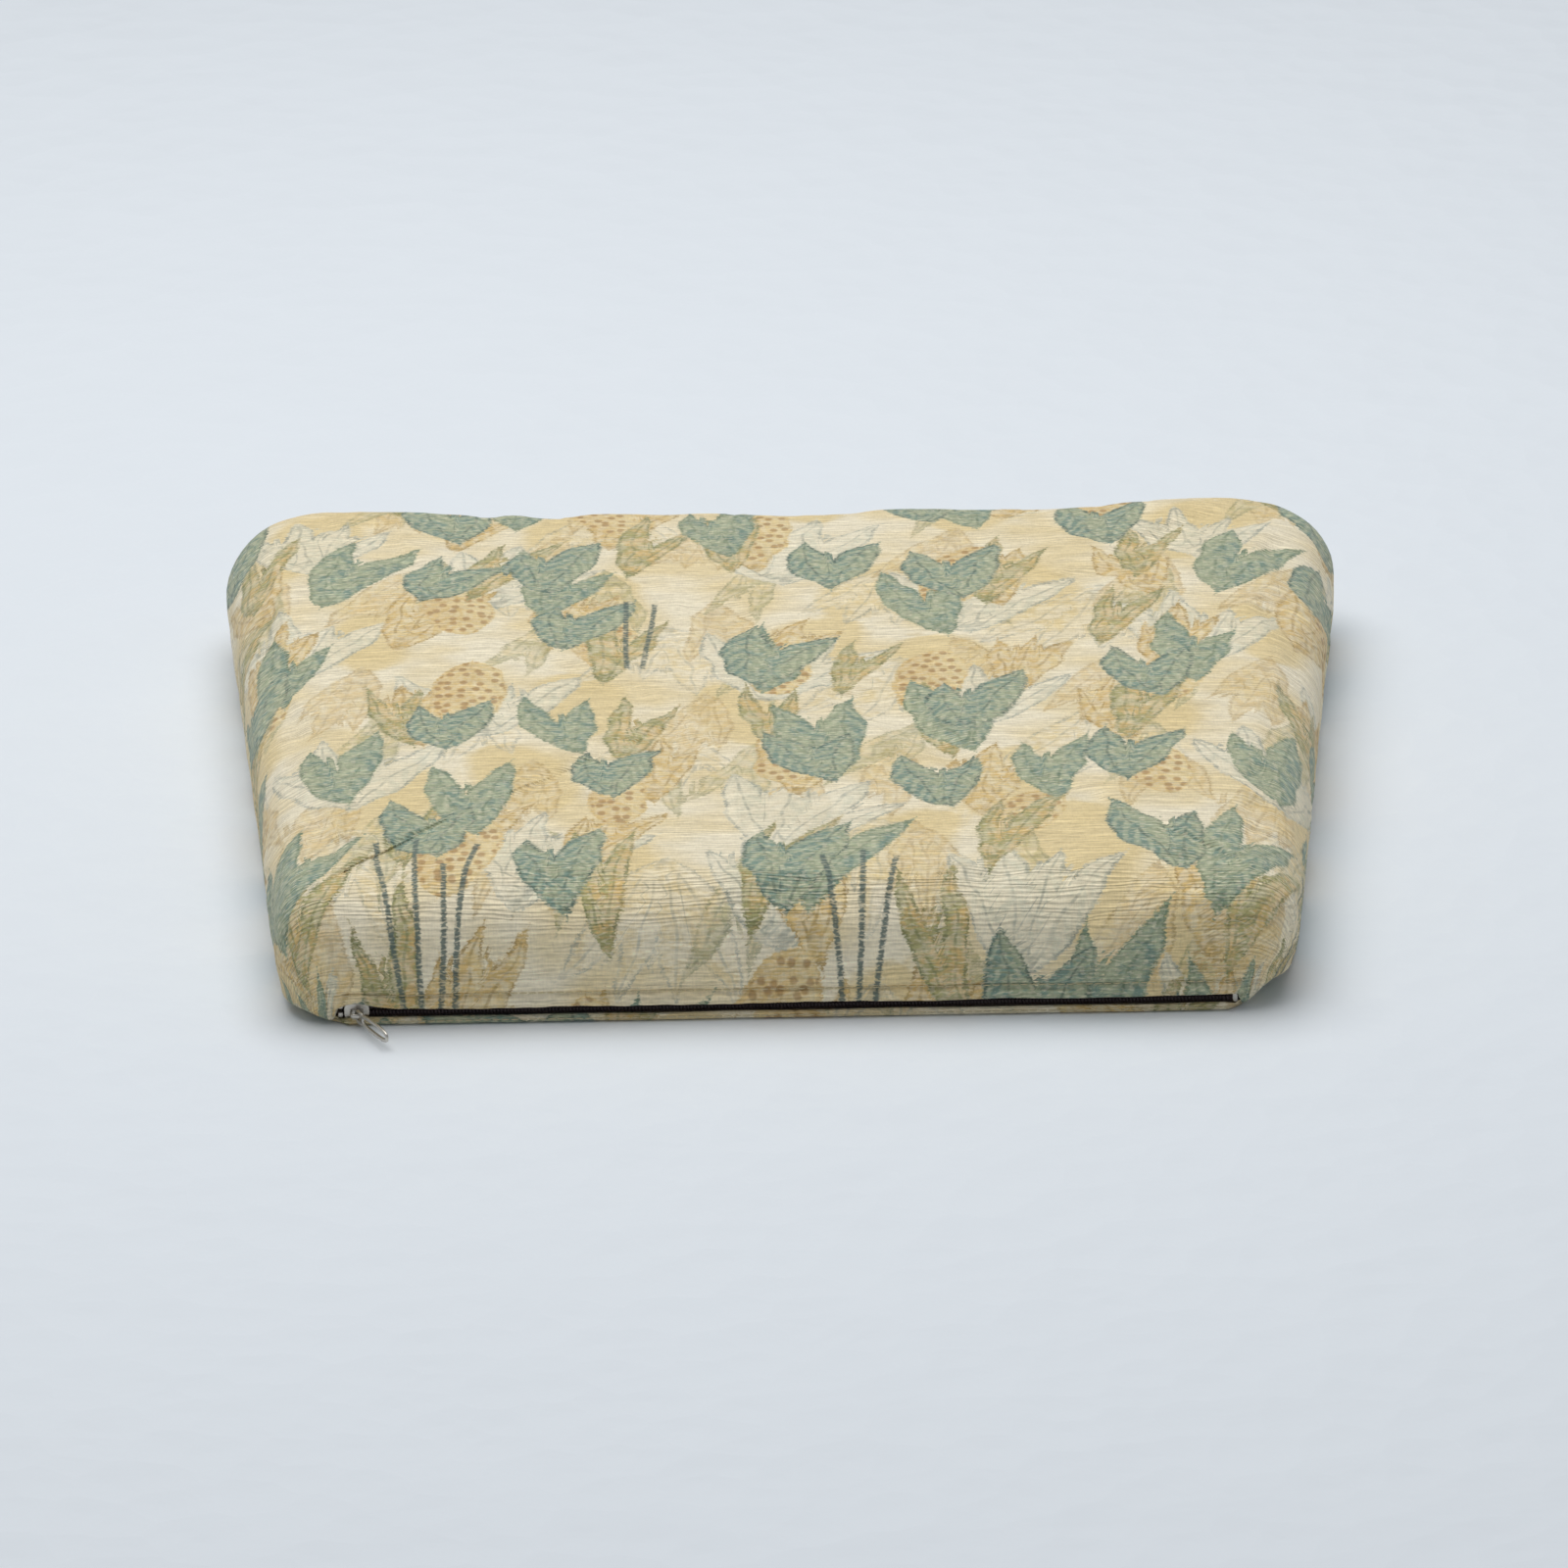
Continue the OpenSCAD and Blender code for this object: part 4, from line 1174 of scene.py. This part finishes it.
class SEATPAD_OT_stitching(bpy.types.Operator):
    """Sew the topstitching, the lower hem, the closing seam and the bar tacks"""

    bl_idname = "seatpad.stitching"
    bl_label = "Stitching"

    def execute(self, context):
        pad = context.scene.seatpad_sizes
        zipper = context.scene.seatpad_zip
        colours = context.scene.seatpad_colours
        thread = thread_finish(colours)
        for name, node, low, high in (("hem_topstitch", "hem_thread_upper", stitch_low, stitch_high),
                                      ("lower_hem_stitch", "hem_thread_lower", hem_low, hem_high)):
            count = int((high.x - low.x) / zipper.stitch)
            x = low.x + (np.arange(count) + 0.5) * (high.x - low.x) / count
            y = np.full(count, cover_high.y + 0.00005)
            z = np.full(count, (low.z + high.z) / 2) + 0.00012 * ripple(x, 0 * x, 0.05, 31)
            half = zipper.stitch * 0.4
            starts = np.column_stack([x - half, y, z])
            ends = np.column_stack([x + half, y, z])
            out = np.tile([0.0, 1.0, 0.0], (count, 1))
            points, faces = stitch_row(starts, ends, zipper.thread, out)
            piece = make_piece(name, points, faces, thread, "pad", [node])
            face_outwards(piece.data)
        self.closing_seam(pad, zipper, thread)
        self.bar_tacks(pad, zipper, thread)
        return {"FINISHED"}

    def closing_seam(self, pad, zipper, thread):
        """Overlocked loops along the sides and the front, on the outline set in to the seam."""
        point, normal = outline_loop(pad, 520)
        spot = point - normal * (seam_low.y - cover_low.y + 0.0002)
        keep = (point[:, 1] < cover_high.y - 0.022)
        spot, normal = spot[keep], normal[keep]
        height = np.full(len(spot), (seam_low.z + seam_high.z) / 2)
        starts = np.column_stack([spot - normal * 0.0008, height])
        along = np.column_stack([-normal[:, 1], normal[:, 0], np.zeros(len(spot))])
        ends = np.column_stack([spot + normal * 0.0008, height]) + along * 0.001
        out = np.tile([0.0, 0.0, 1.0], (len(spot), 1))
        points, faces = stitch_row(starts, ends, zipper.thread * 0.8, out, 0.3)
        piece = make_piece("closing_seam", curled(pad, points), faces, thread, "pad", ["seam_thread"])
        face_outwards(piece.data)

    def bar_tacks(self, pad, zipper, thread):
        """A dense zigzag across both tapes at each end of the zip."""
        low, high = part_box("bar_tacks")
        width = 0.0016
        rows = 22
        z = np.linspace(low.z + 0.0002, high.z - 0.0002, rows)
        parts = []
        for x in (low.x + width / 2, high.x - width / 2):
            flip = np.where(np.arange(rows) % 2 == 0, 1, -1) * width / 2
            y = np.full(rows, (low.y + high.y) / 2)
            starts = np.column_stack([x - flip, y, z])
            ends = np.column_stack([x + flip, y, z + (z[1] - z[0])])
            parts.append(stitch_row(starts, ends, zipper.thread * 0.8, np.tile([0.0, 1.0, 0.0], (rows, 1)), 0.2))
        points, faces = joined(parts)
        piece = make_piece("end_bar_tacks", curled(pad, points), faces, thread, "pad", ["bar_tacks"])
        face_outwards(piece.data)


class SEATPAD_OT_slider(bpy.types.Operator):
    """Cast the slider: two plates, flanges, the post between the coils and the bail"""

    bl_idname = "seatpad.slider"
    bl_label = "Slider"

    def execute(self, context):
        zipper = context.scene.seatpad_zip
        middle_x = (slider_low.x + slider_high.x) / 2
        length = slider_high.x - slider_low.x
        tall = slider_high.z - slider_low.z
        outer_y = cover_high.y - 0.0021
        inner_y = slider_low.y
        parts = [slab(superellipse(length, tall, 3.4, 40, (middle_x, ZIP_Z)), outer_y - zipper.plate, outer_y, 0.0004),
                 slab(superellipse(length, tall - 0.0014, 3.4, 40, (middle_x, ZIP_Z)), inner_y, inner_y + zipper.plate,
                      0.0004),
                 slab(superellipse(0.0032, 0.0008, 2, 20, (slider_high.x - 0.0023, ZIP_Z)), inner_y + 0.0005,
                      outer_y - 0.0005, 0.0001)]
        flange = 0.0007
        for side in (-1, 1):
            z = ZIP_Z + side * (tall / 2 - flange / 2)
            parts.append(slab(superellipse(length - 0.003, flange, 5, 24, (middle_x, z)), outer_y - 0.0028,
                              outer_y - 0.0005, 0.0001))
        parts.append(self.bail(middle_x, outer_y))
        points, faces = joined(parts)
        piece = make_piece("slider_casting", points, faces, nickel(context.scene.seatpad_colours), "slider",
                           ["slider_body"])
        face_outwards(piece.data)
        return {"FINISHED"}

    def bail(self, middle_x, outer_y):
        """An arch of flat metal: half a superellipse in (x, y) from foot to foot, swept with an oval section."""
        t = np.linspace(0, np.pi, 28)
        half = 0.00215
        rise = slider_high.y - 0.00045 - outer_y
        x = middle_x + half * np.sign(np.cos(t)) * np.abs(np.cos(t)) ** 0.5
        y = outer_y - 0.0003 + (rise + 0.0003) * np.sin(t) ** 0.45
        path = np.column_stack([x, y, np.full(len(t), ZIP_Z)])
        across, up = frames_along(path, np.array([0.0, 0.0, 1.0]))
        return swept(path, across, up, 0.0018, 0.0009, 10)


def slot_band(near, far, outer, inner_near, inner_far, inner, thickness, steps=40):
    """A flat band round a slot: at each angle the outer and inner outlines are joined by a rounded section.

    Both outlines are superellipses in the plane of the pull; the section is a squared circle between them."""
    t = np.arange(steps) / steps * 2 * np.pi
    outside = superellipse(far - near, outer, 3.2, steps, ((near + far) / 2, 0))
    inside = superellipse(inner_far - inner_near, inner, 3.0, steps, ((inner_near + inner_far) / 2, 0))
    turn = np.arange(10) / 10 * 2 * np.pi
    c, s = np.cos(turn), np.sin(turn)
    place = 0.5 + 0.5 * np.sign(c) * np.abs(c) ** 0.6
    lift = thickness / 2 * np.sign(s) * np.abs(s) ** 0.6
    flat = inside[:, None] + (outside - inside)[:, None] * place[None, :, None]
    points = np.empty((len(t), 10, 3))
    points[..., 0] = flat[..., 0]
    points[..., 1] = lift[None]
    points[..., 2] = flat[..., 1]
    faces = grid_quads(steps, 10, True).tolist()
    step = np.arange(10)
    after = (step + 1) % 10
    last = (steps - 1) * 10
    faces += np.stack([last + step, last + after, after, step], -1).tolist()
    return points.reshape(-1, 3), faces


class SEATPAD_OT_pull(bpy.types.Operator):
    """Press the slotted pull, with the bar that turns in the slider's bail"""

    bl_idname = "seatpad.pull"
    bl_label = "Pull tab"

    def execute(self, context):
        zipper = context.scene.seatpad_zip
        width = zipper.pull_width
        web = 0.0039
        parts = [slot_band(-0.0006, web + 0.0018, width, 0.0005, web, width - 0.0028, zipper.pull_thickness),
                 slot_band(web - 0.0002, zipper.pull_length, width, web + 0.0016, zipper.pull_length - 0.0016,
                           0.0024, zipper.pull_thickness)]
        points, faces = joined(parts)
        turn = math.pi - zipper.pull_angle
        c, s = math.cos(turn), math.sin(turn)
        along, out = points[:, 0].copy(), points[:, 1].copy()
        points[:, 0] = HINGE[0] + along * c - out * s
        points[:, 1] = HINGE[1] + along * s + out * c
        points[:, 2] += HINGE[2]
        piece = make_piece("pull_loop", points, faces, nickel(context.scene.seatpad_colours), "pull",
                           ["pull_tab"])
        face_outwards(piece.data)
        return {"FINISHED"}


# ---------------------------------------------------------------- stage


class SEATPAD_OT_stage(bpy.types.Operator):
    """Set out the floor, the soft lights and the camera"""

    bl_idname = "seatpad.stage"
    bl_label = "Stage"

    def execute(self, context):
        colours = context.scene.seatpad_colours
        self.floor(colours)
        self.light("overhead", (0.2, -0.35, 2.1), (0.0, 0.0, 0.0), 2.2, 42)
        self.light("fill", (-0.9, 2.2, 1.1), (0.0, 0.1, 0.0), 1.6, 1.5)
        world = bpy.data.worlds.new("studio")
        world.use_nodes = True
        back = world.node_tree.nodes["Background"]
        back.inputs["Color"].default_value = linear("EAF0F6")
        back.inputs["Strength"].default_value = 0.3
        context.scene.world = world
        context.scene.view_settings.view_transform = "Standard"
        self.camera(context)
        return {"FINISHED"}

    def floor(self, colours):
        """One sheet of painted board: flat under the pad and swept up far behind it."""
        run = np.linspace(-1, 1, 60)
        rise = np.linspace(0, 1, 60)
        x, t = np.meshgrid(run * 6, rise, indexing="xy")
        y = 5 - 14 * t
        z = -0.0002 + 4 * smooth((t - 0.72) / 0.28)
        points = np.stack([x, y, z], -1)
        # Painted board: pale, matt and even
        paint = grain_material("painted_board", colours.floor, 0.02, 0.015, Roughness=0.85, Specular_IOR_Level=0.2)
        mesh = bpy.data.meshes.new("floor")
        mesh.from_pydata(points.reshape(-1, 3).tolist(), [], grid_quads(60, 60, False)[:, ::-1].tolist())
        mesh.polygons.foreach_set("use_smooth", [True] * len(mesh.polygons))
        mesh.materials.append(paint)
        floor = bpy.data.objects.new("floor", mesh)
        bpy.context.scene.collection.objects.link(floor)

    def light(self, name, place, target, size, power):
        """A square soft box aimed at a point."""
        data = bpy.data.lights.new(name, "AREA")
        data.shape, data.size, data.energy = "SQUARE", size, power
        lamp = bpy.data.objects.new(name, data)
        lamp.location = place
        aim = np.array(target) - np.array(place)
        lamp.rotation_euler = direction_turn(aim)
        bpy.context.scene.collection.objects.link(lamp)

    def camera(self, context):
        """A long lens behind the zip edge, 22 degrees above the pad, a degree off level."""
        data = bpy.data.cameras.new("camera")
        data.sensor_width = 36
        data.lens = 222
        data.clip_end = 50
        camera = bpy.data.objects.new("camera", data)
        tilt, distance = math.radians(22.4), 3.7
        aim = np.array([0.0, 0.03, 0.022])
        camera.location = aim + distance * np.array([0.0, math.cos(tilt), math.sin(tilt)])
        turn = Euler(direction_turn(aim - np.array(camera.location))).to_matrix()
        camera.rotation_euler = (turn @ Matrix.Rotation(math.radians(-1.0), 3, "Z")).to_euler()
        context.scene.collection.objects.link(camera)
        context.scene.camera = camera


def direction_turn(way):
    """Euler angles that point an object's -Z along a direction, with its Y up."""
    return Vector(way.tolist()).to_track_quat("-Z", "Y").to_euler()


class SEATPAD_PT_panel(bpy.types.Panel):
    """Lists the steps that build the pad"""

    bl_label = "Seat Pad"
    bl_idname = "SEATPAD_PT_panel"
    bl_space_type = "VIEW_3D"
    bl_region_type = "UI"
    bl_category = "Seat Pad"

    def draw(self, context):
        for step in STEPS:
            self.layout.operator(step.bl_idname)
        for name in ("seatpad_sizes", "seatpad_zip", "seatpad_colours"):
            group = getattr(context.scene, name)
            box = self.layout.box()
            for key in group.bl_rna.properties.keys():
                if key not in ("rna_type", "name"):
                    box.prop(group, key)


STEPS = (SEATPAD_OT_stage, SEATPAD_OT_cover, SEATPAD_OT_underside, SEATPAD_OT_filling, SEATPAD_OT_zip,
         SEATPAD_OT_stitching, SEATPAD_OT_slider, SEATPAD_OT_pull)
CLASSES = (PadSizes, PadColours, ZipSizes, *STEPS, SEATPAD_PT_panel)


def register():
    for item in CLASSES:
        bpy.utils.register_class(item)
    bpy.types.Scene.seatpad_sizes = PointerProperty(type=PadSizes)
    bpy.types.Scene.seatpad_colours = PointerProperty(type=PadColours)
    bpy.types.Scene.seatpad_zip = PointerProperty(type=ZipSizes)


def unregister():
    del bpy.types.Scene.seatpad_zip
    del bpy.types.Scene.seatpad_colours
    del bpy.types.Scene.seatpad_sizes
    for item in reversed(CLASSES):
        bpy.utils.unregister_class(item)


def main():
    """Builds every piece in order."""
    register()
    for step in STEPS:
        area, action = step.bl_idname.split(".")
        getattr(getattr(bpy.ops, area), action)()


if __name__ == "__main__":
    main()
